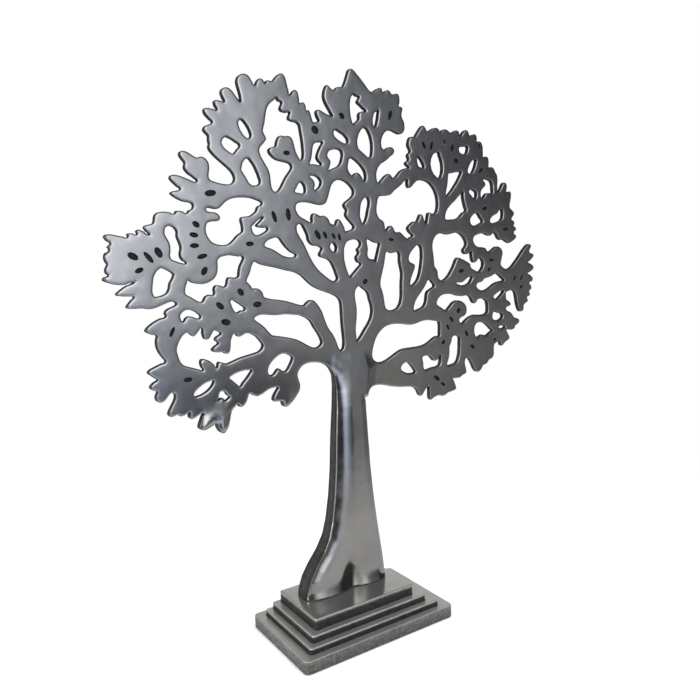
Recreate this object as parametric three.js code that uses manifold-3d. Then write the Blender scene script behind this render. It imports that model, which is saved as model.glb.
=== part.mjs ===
// Tree of life ornament: a pierced tree casting bolted from beneath to a stepped rectangular base.
// Millimetres, +Z up, +X along the long side of the base, the front of the tree faces -Y.
import * as THREE from 'three';
import * as BufferGeometryUtils from 'three/addons/utils/BufferGeometryUtils.js';
import Module from 'manifold-3d';

const wasm = await Module();
wasm.setup();

// Overall sizes
const TREE_TOP = 409;         // height of the topmost leaf above the table
const CANOPY_WIDTH = 368.6;   // from the leftmost to the rightmost leaf tip
const CANOPY_PLATE = 4.2;     // thickness of the pierced canopy
const CANOPY_FRONT = 3;       // the canopy's front face, behind the middle of the base

// Stepped base
const BASE_LENGTH = 130;
const BASE_WIDTH = 81.2;
const BASE_HEIGHT = 28.4;     // table to top step
const BASE_WALL = 6;          // thickness of the casting's walls and top
const STEP_TOPS = [9.9, 14.6, 20, BASE_HEIGHT];
// How far each step stands in from the lowest one: left, right, front, back
const STEP_INSETS = [
  [0, 0, 0, 0],
  [7.2, 9.7, 5.8, 6.7],
  [12, 18, 10.7, 9.6],
  [17.6, 26.4, 15.7, 12],
];
const STEP_CORNERS = [5, 2.4, 2, 1.8];

// Joint between the castings, and the felt
const CLEARANCE = 0.3;        // between pieces that touch
const SCREW_DIAMETER = 5;
const SCREW_GRIP = 15;        // length of thread inside the foot
const SCREW_HEAD_ACROSS = 8;
const SCREW_HEAD_HEIGHT = 3.5;
const SCREW_SPACING = 32;
const SCREW_X = -4;
const SCREW_Y = 5;
const WASHER_THICKNESS = 1;
const WASHER_DIAMETER = 10.5;
const LOCK_THICKNESS = 1.3;
const LOCK_DIAMETER = 8.6;
const FELT_THICKNESS = 1.5;
const FELT_MARGIN = 3;        // bare metal rim around the felt
const RIM_LIFT = 0.4;         // the metal rim hangs this far above the table

const PIT_DEPTH = 1.8;

// The sections and outlines below are drawn at these sizes, and the constants at the top scale them
const DRAWN_TOP = 409;
const DRAWN_WIDTH = 368.6;
const DRAWN_FOOT = 28.4;

// Trunk sections: height, left, right, front and back
const TRUNK = [
  [DRAWN_FOOT + CLEARANCE, -39, 30, -4.2, 15],
  [34, -38, 30, -4.2, 15],
  [42, -35.2, 29.6, -4.2, 14.8],
  [50, -30.4, 28.8, -4.1, 14.4],
  [60, -22.6, 27.4, -4, 13.8],
  [70, -17, 26, -3.8, 13.2],
  [82, -13.6, 24.4, -3.6, 12.6],
  [100, -10.6, 22.3, -3.2, 12],
  [120, -8.6, 20.6, -2.7, 11.4],
  [145, -7, 19.4, -2, 11],
  [168, -5, 19, -0.9, 10.6],
  [182, -4.4, 19.6, 0.2, 10],
  [194, -5.4, 21.6, 1.4, 9],
  [206, -3, 19, 2.6, 7.8],
  [216, 4, 13, 3.4, 6.8],
];

// Rim of the canopy, clockwise from the left side of the trunk: [x, z], and a 1 marks a sharp corner
const RIM = [
  [-3.6, 176], [-3.8, 184], [-5, 191.5], [-9, 198.4], [-15, 202.6], [-22, 204.3], [-28.5, 204.3],
  [-33.3, 202.2], [-36, 199], [-36.8, 196], [-35.9, 192.8], [-34.8, 189.2], [-35.4, 185.8],
  [-38.5, 181.6], [-42.5, 177.6], [-45.8, 175.6], [-47.8, 175.8], [-48.6, 177.4], [-49, 180, 1],
  [-52, 180.4], [-55.4, 180.5], [-56.2, 182], [-55, 184.8], [-53, 187.6], [-51.5, 190.3, 1],
  [-57, 190.5], [-60.5, 189.3], [-64.5, 187.2], [-68.2, 186.1], [-71.2, 187.4], [-73.6, 189, 1],
  [-75.3, 187.2], [-76.5, 183.8], [-78.5, 181.2], [-80.6, 180.5], [-81.9, 181.4], [-82.4, 182.9, 1],
  [-85.2, 181.5], [-87.4, 179.8], [-88.7, 176.5], [-89.8, 172], [-91.2, 168.2], [-93, 165.8],
  [-94.6, 164.9], [-95.9, 165.8], [-97, 168], [-98.9, 172.4, 1], [-102.4, 171.2], [-105.2, 169.9],
  [-108, 169.3], [-110.2, 170.2], [-110.2, 172.2], [-108.8, 176], [-107.2, 181, 1], [-110.4, 180.2],
  [-113, 178.8], [-115.2, 178], [-117.2, 179], [-116.4, 183, 1], [-118.8, 182], [-121, 181.2],
  [-123, 181], [-124.9, 182.8, 1], [-127, 181.9], [-129, 181.7], [-130.6, 182.6], [-130.1, 184.8],
  [-128.1, 188], [-126, 191.4], [-125, 194.2], [-126.6, 197.2, 1], [-129.6, 196], [-131, 194.2],
  [-133, 192.3], [-135.2, 191.8], [-137.3, 192.9], [-138, 195], [-136.6, 199, 1], [-139, 200.2],
  [-141, 201.6], [-140.2, 203.2], [-135.6, 206.3, 1], [-137.2, 207.6], [-139, 209.3],
  [-141.4, 210.9], [-141.2, 212.2], [-139.6, 213.2], [-135, 214.9], [-129.6, 216.8, 1],
  [-131, 219.6], [-133.2, 222.8], [-134.7, 226.6], [-134.9, 230], [-134.2, 234.4, 1],
  [-137.5, 235.4], [-141.4, 237.5, 1], [-139.5, 239.6], [-136, 242], [-132, 243.9],
  [-127.4, 245.2, 1], [-128, 247.2], [-127.4, 249], [-124.5, 250.4], [-120.4, 251.8],
  [-119.7, 253.2], [-121.6, 255.1], [-125.5, 254.6], [-130, 253], [-134, 251.6], [-138, 251.2],
  [-142, 252.2], [-146.5, 252.2], [-151.8, 252.8, 1], [-150, 254.8], [-146, 259.2, 1], [-149, 260],
  [-153, 260.2], [-157.4, 261, 1], [-154.5, 263.2], [-151.5, 265.2], [-145.2, 268.1, 1],
  [-149, 267.4], [-153, 267], [-158, 267.8], [-164.2, 270.2, 1], [-162.8, 271.7],
  [-160.2, 272.7, 1], [-161.4, 273.8], [-162.2, 276], [-160.1, 279.4, 1], [-161.4, 281],
  [-162, 283.6], [-161.2, 286], [-158.3, 287.3, 1], [-159.8, 289.8], [-157.2, 291.5, 1],
  [-159.5, 293.4], [-161.2, 295.6], [-160, 296.7], [-157, 296.7], [-152.5, 295.6],
  [-146.9, 294.6, 1], [-147.5, 297], [-145, 297.1], [-141.3, 296.1, 1], [-141.8, 298.6],
  [-140.4, 299.4], [-138.4, 298.4], [-133.2, 295.7, 1], [-135.6, 298.6], [-137.2, 300.9],
  [-135.2, 301.8], [-130.9, 302.6, 1], [-130.2, 305], [-129.9, 307.6], [-128, 309.4],
  [-124, 309.9], [-120, 309.3], [-117, 308.5, 1], [-116.4, 310.5], [-113, 310.2],
  [-109.2, 308.8, 1], [-108, 310.6], [-105.4, 311.2], [-104.4, 313], [-104.6, 315.2],
  [-106.5, 316.2], [-111, 316.8], [-116, 319.2], [-119, 321.4, 1], [-117, 322.3], [-114, 322.7],
  [-111.8, 323.9, 1], [-114, 325.8], [-117, 328.6], [-118.6, 330.4], [-117.8, 331.9],
  [-115.5, 332.4], [-111, 331.3], [-106, 329.4], [-102.4, 328], [-100.5, 328.9, 1],
  [-103, 331.6], [-107, 334.2], [-109, 337.2], [-107.6, 340, 1], [-109.8, 342.3],
  [-111.3, 344.6], [-111, 346.2], [-109.3, 347.1], [-106, 346.2], [-102.5, 344], [-100, 342.9, 1],
  [-98.4, 343.6], [-96.4, 343.9], [-94.2, 342.6], [-92.8, 340.4], [-92.5, 337.4], [-93.3, 334],
  [-93.6, 331], [-92, 329.2], [-88, 328.1], [-83, 327.1], [-79, 327], [-76, 328.3], [-74.9, 331],
  [-75.7, 334], [-79, 337.8], [-84, 341.8], [-88.5, 345.6], [-91, 348.4], [-91.8, 350.4],
  [-90.8, 352.2, 1], [-91.6, 354.6], [-90.9, 357.4, 1], [-93.3, 359.2], [-94.5, 361],
  [-93.4, 362.8], [-90.6, 363.8], [-87.8, 365.5, 1], [-89.4, 367.4], [-91.8, 369.6],
  [-93.2, 371.4], [-93.2, 373.3], [-91.8, 373.9], [-88.5, 373.7], [-84.1, 373, 1],
  [-85.2, 375.6], [-86.3, 378.4], [-85, 379.2], [-82.4, 379], [-78.7, 378.4, 1], [-79.6, 381],
  [-81, 384], [-80.6, 386], [-78.6, 387.4], [-76.2, 387.6], [-74, 386.2], [-71.2, 382.6],
  [-67.8, 378.8, 1], [-67.4, 382.6], [-68.6, 387.6], [-69.7, 392.6], [-68.6, 395.2],
  [-66.3, 396.8], [-63.5, 397.3], [-61, 395.8], [-59, 392.4], [-57, 390.3, 1], [-55.8, 392.4],
  [-54.6, 394.6], [-52.6, 395.5], [-50.8, 394.4], [-49.7, 392.2, 1], [-48.8, 394.2],
  [-47.2, 394.7], [-44.1, 394, 1], [-42, 396.6], [-39, 399.4], [-37, 400.2], [-35.2, 398.8],
  [-33.8, 394], [-32.6, 389], [-31.5, 386.3, 1], [-29.4, 388.8], [-27.4, 390.6], [-25.8, 389.6],
  [-25, 386], [-24.4, 382.1, 1], [-22.6, 382.4], [-21.2, 382.8], [-20.1, 381.2],
  [-19.3, 377.8, 1], [-17.6, 378.1], [-16.6, 376.6], [-15.6, 372.8], [-14.8, 370.3, 1],
  [-13.2, 369.9], [-11.4, 370.6], [-9, 371.1, 1], [-10.4, 374.6], [-11.4, 377.2],
  [-10.2, 379], [-7.6, 378.3], [-3.6, 376.3], [2.4, 375.1, 1], [-0.2, 379.6], [-3.8, 385.2],
  [-4.6, 388.6], [-3.8, 392.4], [-2, 396], [-0.8, 395.4], [1.2, 393.5], [4, 392.4, 1],
  [5.8, 394.7], [8, 395.6], [11.3, 395.1, 1], [13.6, 399.4], [15.6, 404.4], [17, 408],
  [18.6, 409], [20.4, 408.1], [24.5, 404.5], [29, 400.1], [32.6, 396.1], [35, 394.1, 1],
  [38, 394.9], [41, 397.1], [43.8, 398.1], [45.2, 397], [45.8, 395, 1], [48, 395.9],
  [50.6, 397.2], [52.2, 396.3], [53.6, 394, 1], [56, 394.5], [59, 395.4], [60.6, 394],
  [60.7, 390], [60.2, 386.2, 1], [62.4, 386.2], [63.5, 385], [62.5, 382.4], [62, 380],
  [62.8, 377.8], [64.7, 374.6], [64.7, 370], [63, 367.3], [60, 366.8], [57.6, 367.6],
  [54, 369.1], [50.5, 369.3], [46.6, 367.6], [43.8, 364], [42.5, 359.6], [43, 356],
  [45.2, 354.1], [47.6, 355], [50.2, 356.5], [53.2, 356.3], [54.7, 354.4], [53.8, 352],
  [50.6, 350], [46.4, 346.8], [41.6, 344.4], [38.6, 341], [37.2, 336.6], [37.6, 332.4],
  [39.4, 330, 1], [43, 332.6], [46, 335.6], [49, 337.3], [51, 336], [52.4, 334, 1],
  [55.6, 334.6], [58, 337], [60.6, 339.6], [64, 341.2], [69, 342.2, 1], [67.4, 343.8],
  [65.4, 345.2], [66.4, 346.6], [68.8, 348.2, 1], [67.6, 350.4], [68.2, 352.6],
  [70.6, 354.4, 1], [69, 357.4], [68.4, 359.4], [69, 362], [70.2, 364.6], [72, 365.2],
  [74.9, 364.5, 1], [77.6, 368.3], [81, 372.4], [83, 374.2], [84.6, 372.8], [86, 370.2],
  [87.4, 369.5, 1], [90, 370.7], [94, 372.8], [97, 373], [98.8, 371.5], [99.8, 369.8, 1],
  [102.4, 371.7], [105.4, 372.7], [108, 371.5], [109.8, 369.9, 1], [113, 370.7],
  [116.4, 372.3], [118.8, 371.9], [119.6, 369], [120.5, 367.7, 1], [122.4, 368.9],
  [124.6, 372], [127, 373.4], [129, 372.2], [129.8, 369.4], [130.8, 368.7, 1], [133, 369.5],
  [136.4, 370.5], [138, 369.3], [138, 366], [138.5, 363.6, 1], [140.8, 365.4], [143.4, 364.2],
  [144.5, 361], [144.5, 356.6], [144.8, 352.8, 1], [147, 353.3], [150, 353.4], [150.8, 351],
  [151, 344.9, 1], [154, 345.2], [156.4, 344.8], [158, 341.8], [160.3, 339], [160.8, 336],
  [160.4, 330], [160.6, 325, 1], [162.6, 325.2], [165.4, 328.4], [167.2, 331.8],
  [169, 333.4], [171, 332.4], [171.7, 330], [171, 327.4], [171.3, 325.2, 1], [173.6, 325.5],
  [175.6, 326], [176.6, 324.4], [176, 320], [174.8, 315.6], [174.6, 312.3, 1],
  [177.4, 310.6], [179.8, 308.6], [180, 307.2], [178, 305.2], [176.8, 303, 1],
  [181, 300.2, 1], [179.2, 298], [179.6, 297], [183, 295, 1], [181, 293.4], [179.4, 291.6, 1],
  [183, 288.4, 1], [181, 286.6], [177.5, 284.6], [174.2, 283.3], [171, 284.8], [168, 286.7],
  [165.6, 286.4], [163.4, 286.3], [161.4, 288], [159.4, 291.3], [157, 292.8], [155, 292.6],
  [153.6, 290.8], [152.2, 290, 1], [149.8, 290.3], [147.4, 291.5], [144, 292.4],
  [139, 291.7], [135.4, 290.7], [133.2, 289.3], [132.3, 287], [133.2, 284], [135.8, 281.6],
  [138.6, 280.4], [142.6, 280.3], [146.4, 279.5], [149.2, 275.8, 1], [152.4, 276.6],
  [155.6, 278.3], [158.8, 280.4], [162, 280.2], [164.8, 278.3], [166.3, 275.4], [165.4, 272.4],
  [164.4, 269.4], [163.4, 265.2, 1], [165.8, 262.9], [169.4, 261.2], [173.4, 260.8],
  [177.4, 262.8], [181.6, 266.4], [186.4, 271], [191.4, 276.4], [195, 279.6], [198, 281.5],
  [200.4, 280.8], [200.6, 279.2], [199, 277.4], [198, 275.2], [199.6, 273.5],
  [204.4, 272.4, 1], [203, 270.2], [200, 268], [196.8, 265.8, 1], [200, 264.3],
  [204.2, 262, 1], [203, 259.6], [199.4, 257.9], [196.2, 256.4, 1], [199.6, 254.6],
  [202.4, 252.4], [203.2, 250.6], [201, 249.2], [198.2, 248.2, 1], [200, 246],
  [201.5, 243.3], [200, 242.2], [198, 240.9, 1], [199.6, 238.2], [198.4, 237], [195.2, 235.7, 1],
  [197, 233], [196, 231.9], [194, 231.2], [191.6, 229.8, 1], [190.8, 227.8], [191.4, 225.8],
  [189.8, 224.4], [187.8, 223.8], [186.2, 225], [184.6, 228.4], [183.2, 233.6], [182.4, 238.4],
  [180.8, 242.2], [177.4, 243.5], [173, 242.9], [169.6, 241.8, 1], [169.4, 239.6],
  [169.8, 235.2, 1], [173, 233.6], [176.1, 230.8, 1], [173.6, 229.8], [170.6, 229.4, 1],
  [169.4, 228.2], [169.8, 226.2], [172, 225], [175.2, 223.8], [177.5, 221.4],
  [179.6, 218.6, 1], [182.5, 218.1], [185, 217], [185.8, 215.5], [184.8, 214], [182, 212.9],
  [180.3, 212, 1], [180.2, 210.4], [178.6, 209.3], [175.2, 209.1], [172, 209.7],
  [170, 209.4, 1], [170.9, 206.8], [172.3, 204.7], [174, 201.5, 1], [170.9, 200.2],
  [167.8, 198.9], [165.8, 196.9], [164.3, 196.2], [163.2, 197.4], [162.6, 200.6, 1],
  [158.3, 199.9], [155.7, 198.9], [154.6, 196.8], [154.6, 193.1], [154.5, 188.9],
  [153, 187], [150.4, 186.4], [148.3, 185.5], [147.2, 183.6], [145.2, 182.4],
  [142.2, 182.4, 1], [140.7, 179.9], [138.8, 177.9], [136.5, 176.9], [134.1, 177.7],
  [132, 180.4], [130.2, 184.4], [128, 188], [125.8, 190.4], [123.6, 190.9], [121.7, 189.2],
  [121.1, 186.8], [121.8, 183.6], [123, 178.4], [122, 177.2], [119.8, 177], [117.4, 175.8],
  [116.2, 174.9, 1], [112.3, 174.9], [108.2, 175.1, 1], [109, 172.8], [110.2, 169.9],
  [111.8, 165.8, 1], [108, 164.8], [102, 164.1, 1], [99.3, 162.3], [96.7, 162.2],
  [92.7, 163.4], [89.3, 162.8], [86.6, 162], [84.9, 160.6], [83.6, 161.2], [83.2, 164],
  [83.4, 168], [83, 172, 1], [80.8, 172.2], [78.9, 170.2], [77, 167.7], [75, 165.5],
  [73.6, 165.6], [72.4, 167.4], [71.2, 170.4], [68.8, 172.9], [64.7, 174.5], [60, 175.1],
  [55, 175.6], [50, 176.4], [45, 177.5], [39.9, 179], [34.6, 180.2], [29.4, 180.3],
  [25.4, 179], [22.6, 176.2], [21.4, 172.6],
];

// Windows right through the canopy, in the same notation
const WINDOWS = [
  [[-19.3, 334.1, 1], [-17, 335], [-14.6, 334.9], [-11.4, 333.6], [-9.2, 330.3], [-10.6, 326.9],
    [-14.2, 324.2], [-16, 325, 1], [-15.2, 328], [-16, 331]],
  [[-125, 297], [-124, 301], [-121, 302.2], [-118, 301], [-116.2, 298], [-116.6, 294.6],
    [-115.2, 291], [-114.4, 287.6], [-115.4, 284], [-115.2, 281.6], [-111.4, 277.8, 1],
    [-113.8, 277.5], [-118, 279], [-121.4, 280.4], [-122.6, 282.6], [-121.8, 286],
    [-122, 291], [-124, 294.6]],
  [[-134.6, 266], [-133.6, 271], [-131.4, 274.4], [-128, 276.4], [-124.4, 274.8],
    [-120.2, 271.8, 1], [-121.2, 269], [-123.6, 265.6], [-124, 262.4], [-126, 259.4],
    [-130, 258], [-134, 257.8], [-135.2, 260.4]],
  [[-96.8, 311.4], [-95, 313.2], [-91.4, 312.4], [-88.4, 311.9], [-86, 313.8], [-83, 316.6],
    [-80, 318.2], [-75, 319.4], [-70, 319.7], [-64, 319.3], [-61, 318.4], [-57, 316.8],
    [-56.2, 315], [-60, 312.8, 1], [-60.6, 310.4], [-62.6, 308.6], [-65.6, 306.9],
    [-69.4, 306.5], [-72, 306.2], [-72.6, 304.4], [-71.6, 301.4], [-71.5, 296.8, 1],
    [-76, 294.2], [-78.7, 291.2], [-82, 288.8], [-86, 288.2], [-90, 288.8], [-94.6, 290.8],
    [-97.2, 295], [-97.8, 300], [-96.4, 303.4], [-93, 304.3], [-88.4, 304.5], [-87.2, 305.8],
    [-88.2, 308.2], [-90.6, 309.4], [-94.4, 309.5]],
  [[-114.6, 260], [-113.4, 264.6], [-111.4, 267.6, 1], [-109.4, 266.2], [-106, 265.2],
    [-102, 264.6], [-98, 265.4], [-94, 267.6], [-91.8, 271], [-91.2, 275], [-91.2, 279],
    [-89.6, 281.2], [-86, 282], [-82, 282.5], [-78, 281.8], [-72.2, 280.8, 1], [-73, 277.6],
    [-75, 274.6], [-76, 271], [-76.5, 267.2, 1], [-80, 266.9], [-83.8, 267.6], [-84.8, 265.8],
    [-85.2, 262.8], [-86.8, 261, 1], [-90, 262.3], [-93, 263], [-94.4, 261], [-94.4, 256.8, 1],
    [-98, 256.9], [-100.6, 256.2], [-102.4, 252.4, 1], [-105.4, 252.8], [-108.5, 254.8],
    [-111.4, 256.8], [-113.8, 258]],
  [[-56.4, 289], [-54.6, 291], [-51, 292.4], [-47, 293.2], [-44.6, 292.8], [-42.2, 288.9],
    [-39.6, 285.8], [-36.2, 282.8], [-32.4, 281.2], [-32.2, 279.4], [-34.6, 278.4],
    [-39, 278.8], [-44, 280.4], [-48, 283], [-51.4, 285], [-55.4, 286.2], [-57, 287.4]],
  [[-31.4, 323.2], [-30, 326.4], [-27.6, 329.8], [-25.4, 330.4], [-23.2, 328.2],
    [-22.4, 325], [-23, 321.9], [-26, 321.8], [-29.6, 322.4]],
  [[-65.6, 300.4], [-63.6, 302, 1], [-60.4, 304.8], [-55.8, 306.8, 1], [-58.4, 303.4],
    [-62, 300.6, 1], [-58, 299.8], [-53.4, 299.4, 1], [-53.2, 297.4], [-56, 295.8],
    [-60, 294.1], [-63.4, 294.6], [-65.2, 297]],
  [[-53.6, 362], [-52, 367], [-51, 372], [-50, 376], [-48.6, 379], [-46, 381.6],
    [-43.4, 383.2], [-41.4, 384.8, 1], [-40.4, 382.6], [-37.6, 382.2, 1], [-38.2, 379.6],
    [-39.4, 377.8, 1], [-38.2, 376.2], [-35.6, 375.7], [-31.9, 375.9, 1], [-32.6, 373.4],
    [-33.6, 371.4], [-31, 370.4], [-27.4, 370], [-24.8, 368.6], [-24.2, 364], [-23.3, 358],
    [-22.9, 352], [-23, 347], [-24.8, 344.2], [-27.4, 346], [-29.4, 350], [-30.4, 354],
    [-31.2, 357.4], [-32.6, 359.4], [-34.4, 360], [-37, 359.3], [-40, 360, 1], [-41.6, 358.8],
    [-43, 356], [-43.8, 352.4, 1], [-46.4, 352.2], [-49.2, 351], [-49, 348.6], [-46.6, 346.2],
    [-43.6, 344.4], [-38, 343.4], [-33.6, 342.4], [-32, 340], [-33.2, 337.6], [-36, 334.4],
    [-38, 331.8], [-40, 328.4], [-42.2, 325], [-44.4, 322.8], [-47.4, 322.8], [-49, 325],
    [-49.6, 330], [-50, 335], [-51, 338], [-53.6, 342], [-56, 346], [-57, 349.6], [-56.2, 352],
    [-53, 355], [-51, 357.2], [-52.2, 359.6]],
  [[-71, 366.4], [-69.8, 368.6], [-67.4, 369.2], [-65, 366.6], [-62.6, 362.8],
    [-61.4, 359], [-62.6, 356.6], [-65.4, 356.8], [-67.8, 359], [-70, 362.6]],
  [[-83.4, 353], [-82.4, 356], [-79.4, 357.8], [-75.6, 356.4], [-72, 354.2], [-69.8, 352.2],
    [-72, 349.4], [-75, 346, 1], [-78, 347.4], [-81.6, 350]],
  [[-70.6, 337], [-69.4, 341.4], [-67.4, 343.8], [-64.6, 344.4], [-61.4, 341.4],
    [-59, 336.6], [-57.2, 331.6], [-57.2, 328.6], [-59.6, 326.8], [-63, 326.6],
    [-65.6, 328.4], [-67.8, 332.4]],
  [[-18.6, 342, 1], [-16.8, 348], [-16, 353], [-14.8, 356.2], [-11, 357.8], [-6.8, 357.5, 1],
    [-9, 354], [-11.2, 350], [-12.2, 346.6], [-8.4, 342, 1], [-11, 341.2], [-15, 341.9]],
  [[-4, 350], [-2.4, 352.2], [1, 353.2], [4.6, 353.8], [8.2, 352.8], [9.4, 350], [8.4, 346.4],
    [7.4, 343.4], [5, 341], [1, 339.6], [-2.8, 337.9, 1], [-3.6, 338.8], [-2.4, 342],
    [-1.4, 344.6], [-3.4, 346.4], [-4.4, 348]],
  [[1.4, 364], [2.6, 366.4], [4.4, 367.2], [8, 365.4], [11.6, 363.5], [14, 360.8],
    [14.6, 358.4], [12.4, 356.8], [9.4, 357.4], [5.4, 359.4], [2.4, 361.6]],
  [[21.6, 356], [21.4, 360], [23, 364.6], [25.4, 368], [28.6, 370], [31, 369.4],
    [33.4, 365.4], [35, 360], [35.1, 354], [34.4, 349.4], [31.6, 347.6], [29, 349.4],
    [25.6, 351.8], [22.6, 354]],
  [[16.2, 382], [16.4, 386], [17.6, 390], [20.2, 392.8], [22, 391.8], [23.4, 390.8],
    [25.4, 390.8, 1], [24.2, 388], [23, 386.9, 1], [26, 384.9], [28.8, 382.7],
    [31.3, 380.6, 1], [27, 380.2], [25.2, 379.6], [24.2, 377.8], [24.8, 375, 1],
    [22.2, 372.8], [19, 371], [17.4, 373], [16.6, 377]],
  [[35.6, 373.6], [36.2, 378], [38, 381], [41.8, 382.7], [41.4, 378], [40.4, 374],
    [39.2, 370.8], [37.2, 370.2], [36, 371.4]],
  [[12.4, 339.4], [12.6, 342.4], [13.6, 346], [15.2, 348.2], [17.6, 348], [21.2, 345.8],
    [25, 342.7], [28, 338.8], [28.8, 335], [28.4, 332.2], [26.6, 331.2], [24.8, 333.4],
    [23, 336.2], [20.8, 337.4], [18.9, 336.4], [17.6, 334.6], [14.8, 335.6]],
  [[-31.8, 312], [-31, 315], [-28.6, 316.4], [-24, 316.8], [-19, 316.4], [-14, 315.3],
    [-9.4, 314.8], [-7, 316], [-5.4, 319], [-4, 323], [-2.4, 327.6], [0, 330.6],
    [3.4, 332.4], [7, 332.5], [11.2, 331.2], [15, 328.4], [17.6, 325], [17.2, 321.6],
    [14.8, 319.2], [11.4, 317.2], [9, 315.4], [8.6, 313.8], [11.2, 310.6, 1], [10, 308.6],
    [10, 306.8], [11.6, 304.9], [14.4, 302.2], [17.1, 299.1], [16, 296.9], [12.4, 296],
    [9, 295.4, 1], [7.6, 298.4], [5.6, 302], [3.4, 304.6], [1.8, 303], [0.5, 300.1, 1],
    [-2, 300.6], [-4.4, 301.6], [-5, 303.8], [-6.6, 305.8], [-9.4, 307], [-11.4, 306.2, 1],
    [-13.4, 307.2], [-16, 308.4], [-17.6, 308.4], [-18.6, 302.2, 1], [-21.6, 302.8],
    [-25, 304.6], [-28, 306], [-30.4, 308.4]],
  [[-31.4, 300.4], [-30, 301.8], [-26.6, 302, 1], [-24.4, 298], [-22.4, 293.6], [-22, 290.2],
    [-20.2, 287.8], [-17.6, 286.6], [-14, 286.4], [-11, 284.8], [-11.4, 283], [-13.2, 281.2],
    [-13.6, 279.1, 1], [-10.4, 278], [-6.8, 277], [-4.2, 275], [-2, 270.8], [-0.2, 266],
    [1, 262.6], [0, 260.6], [-3.4, 260.3], [-8, 263], [-12, 266], [-16, 269.6], [-19, 273.4],
    [-22, 278.6], [-24.6, 284], [-27, 289], [-30, 293.4], [-31.6, 297]],
  [[6.4, 280], [6.8, 284.4], [9, 288.4], [12.4, 289.9], [16, 290.4], [19.8, 290],
    [22.2, 287.6], [21.6, 284.6], [18.4, 282.4, 1], [20, 280, 1], [18, 278], [17.4, 275.6],
    [19, 273.4], [22, 272, 1], [18.4, 268.6], [15, 265.4], [11.5, 262.6, 1], [9.8, 264.4],
    [8.6, 267.4], [7.2, 272], [6.4, 276]],
  [[26.6, 289], [28, 290.7], [31, 289.5], [34.6, 287.6], [39, 286.6, 1], [37.8, 282],
    [36.2, 277], [34.6, 272.8, 1], [33.4, 274.6], [30, 274.7], [27.6, 276], [26.8, 278.4],
    [27.6, 283], [26.8, 287]],
  [[21.6, 306], [22, 312], [23.4, 317], [26, 319.9], [29.6, 320.5], [31, 318.4],
    [30.8, 314.4], [29.4, 310.4], [28.4, 306], [26.8, 302.4], [24.4, 300.8], [22.8, 302.4]],
  [[37.8, 257], [39, 262], [41, 268], [42.6, 274], [43.6, 279], [44.8, 280.8], [47.4, 280.4],
    [50, 279], [52.6, 279.8], [56, 280.4], [57.6, 278], [57.4, 272.4], [58.8, 266.4],
    [59.4, 262.6], [58.6, 256], [58.4, 250], [58, 244], [56.6, 239.4], [53.4, 236.2],
    [49, 235.2], [44.4, 235.8], [41.8, 238], [41, 242], [40.4, 247], [39.4, 251],
    [38, 253.8]],
  [[14.2, 226], [15.2, 232], [15.6, 240], [14.8, 245], [14.4, 250], [15, 253.4],
    [17.2, 255.6], [19.6, 257, 1], [22.4, 254.4], [25.8, 252], [27.4, 249.8], [28.4, 245],
    [29.8, 241], [30.2, 237], [29.2, 232], [26.6, 227.4], [23.2, 223.4], [20, 219.2],
    [17.4, 216.2], [15.2, 215.5, 1], [14.2, 220]],
  [[-69.6, 262.4, 1], [-71.6, 264], [-71.2, 265.8], [-70, 267.8], [-68.6, 270.4],
    [-67.4, 274], [-66, 276.8], [-64, 277.9], [-60, 275.6], [-55, 274.2], [-48, 272.6],
    [-40, 270.4], [-34, 269], [-29, 266.4], [-24, 261.6], [-20, 258.4], [-15, 255.8],
    [-8, 253.2], [-2, 250.6], [2.2, 247], [3, 240], [3.2, 230], [3.8, 222], [4.2, 215],
    [3.4, 211], [1.4, 209.2], [-0.4, 209.8], [-3.2, 216.8], [-5.6, 222], [-9.4, 227],
    [-12, 233], [-14.4, 240], [-18, 245.4], [-20.6, 248], [-23.4, 248.2], [-25.2, 247],
    [-27.8, 244.8, 1], [-31, 245.2], [-36, 246.8], [-42, 248.8], [-48, 250.1],
    [-54, 251.1], [-59.6, 252.8, 1], [-60, 256], [-61.4, 257.6], [-64, 259.2],
    [-67.4, 258.6, 1], [-68.2, 260.4]],
  [[-67.8, 239], [-66.4, 240.8], [-62, 241.8], [-56, 241], [-50, 240.4], [-44, 240.6],
    [-38, 239.8], [-31, 238.6], [-27.6, 237], [-24.2, 234.8], [-22.4, 232.6],
    [-20.8, 229.2], [-18.4, 225.8], [-16.4, 222.4], [-15, 219.2], [-14.6, 216.4],
    [-17, 214.4], [-20, 213.6], [-24, 214.8], [-28, 217], [-32, 219.6], [-36, 221.6],
    [-42, 223.4], [-50, 225.2], [-54.6, 226.2], [-57, 228.6], [-60, 232.4],
    [-63.6, 235.4], [-66.6, 237.6]],
  [[-59.6, 203], [-58, 206.6], [-54.6, 210], [-50.4, 212.6], [-47.4, 213.6], [-43.4, 212.6],
    [-39, 209.4], [-39.8, 207], [-41.4, 204.4], [-44, 200.6], [-46, 199.6], [-48.4, 200.8],
    [-50.8, 203], [-52.4, 201.4], [-54.4, 198.8], [-57.4, 198.2], [-59.4, 200.4]],
  [[-88, 201.4], [-85, 203.4], [-80, 204.8], [-75.4, 205.4], [-71, 204.6, 1], [-72, 202.4],
    [-75, 199], [-78.4, 195.8], [-80.2, 193.9, 1], [-82.6, 195.8], [-85.4, 198.4]],
  [[-113.8, 193.4], [-112, 196], [-108, 198.8], [-104, 200.8], [-99.2, 201.4],
    [-98.7, 199.4], [-100.6, 196.6], [-104.2, 193.8], [-108.4, 192.1], [-112.4, 191.6]],
  [[-96.4, 190.6], [-95.4, 193], [-93, 193.8], [-90.8, 192.2], [-90, 189.8], [-88, 188.4, 1],
    [-92, 186, 1], [-92.6, 187.8], [-94.6, 188.4], [-97.2, 186.8, 1], [-96.6, 189]],
  [[-122.6, 223], [-122.2, 226], [-120.4, 229.4], [-118.4, 232.4], [-115.6, 234.4],
    [-113.6, 234.6], [-112, 232.8], [-110.4, 231.4], [-108.6, 232.8], [-106.6, 235.4],
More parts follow.
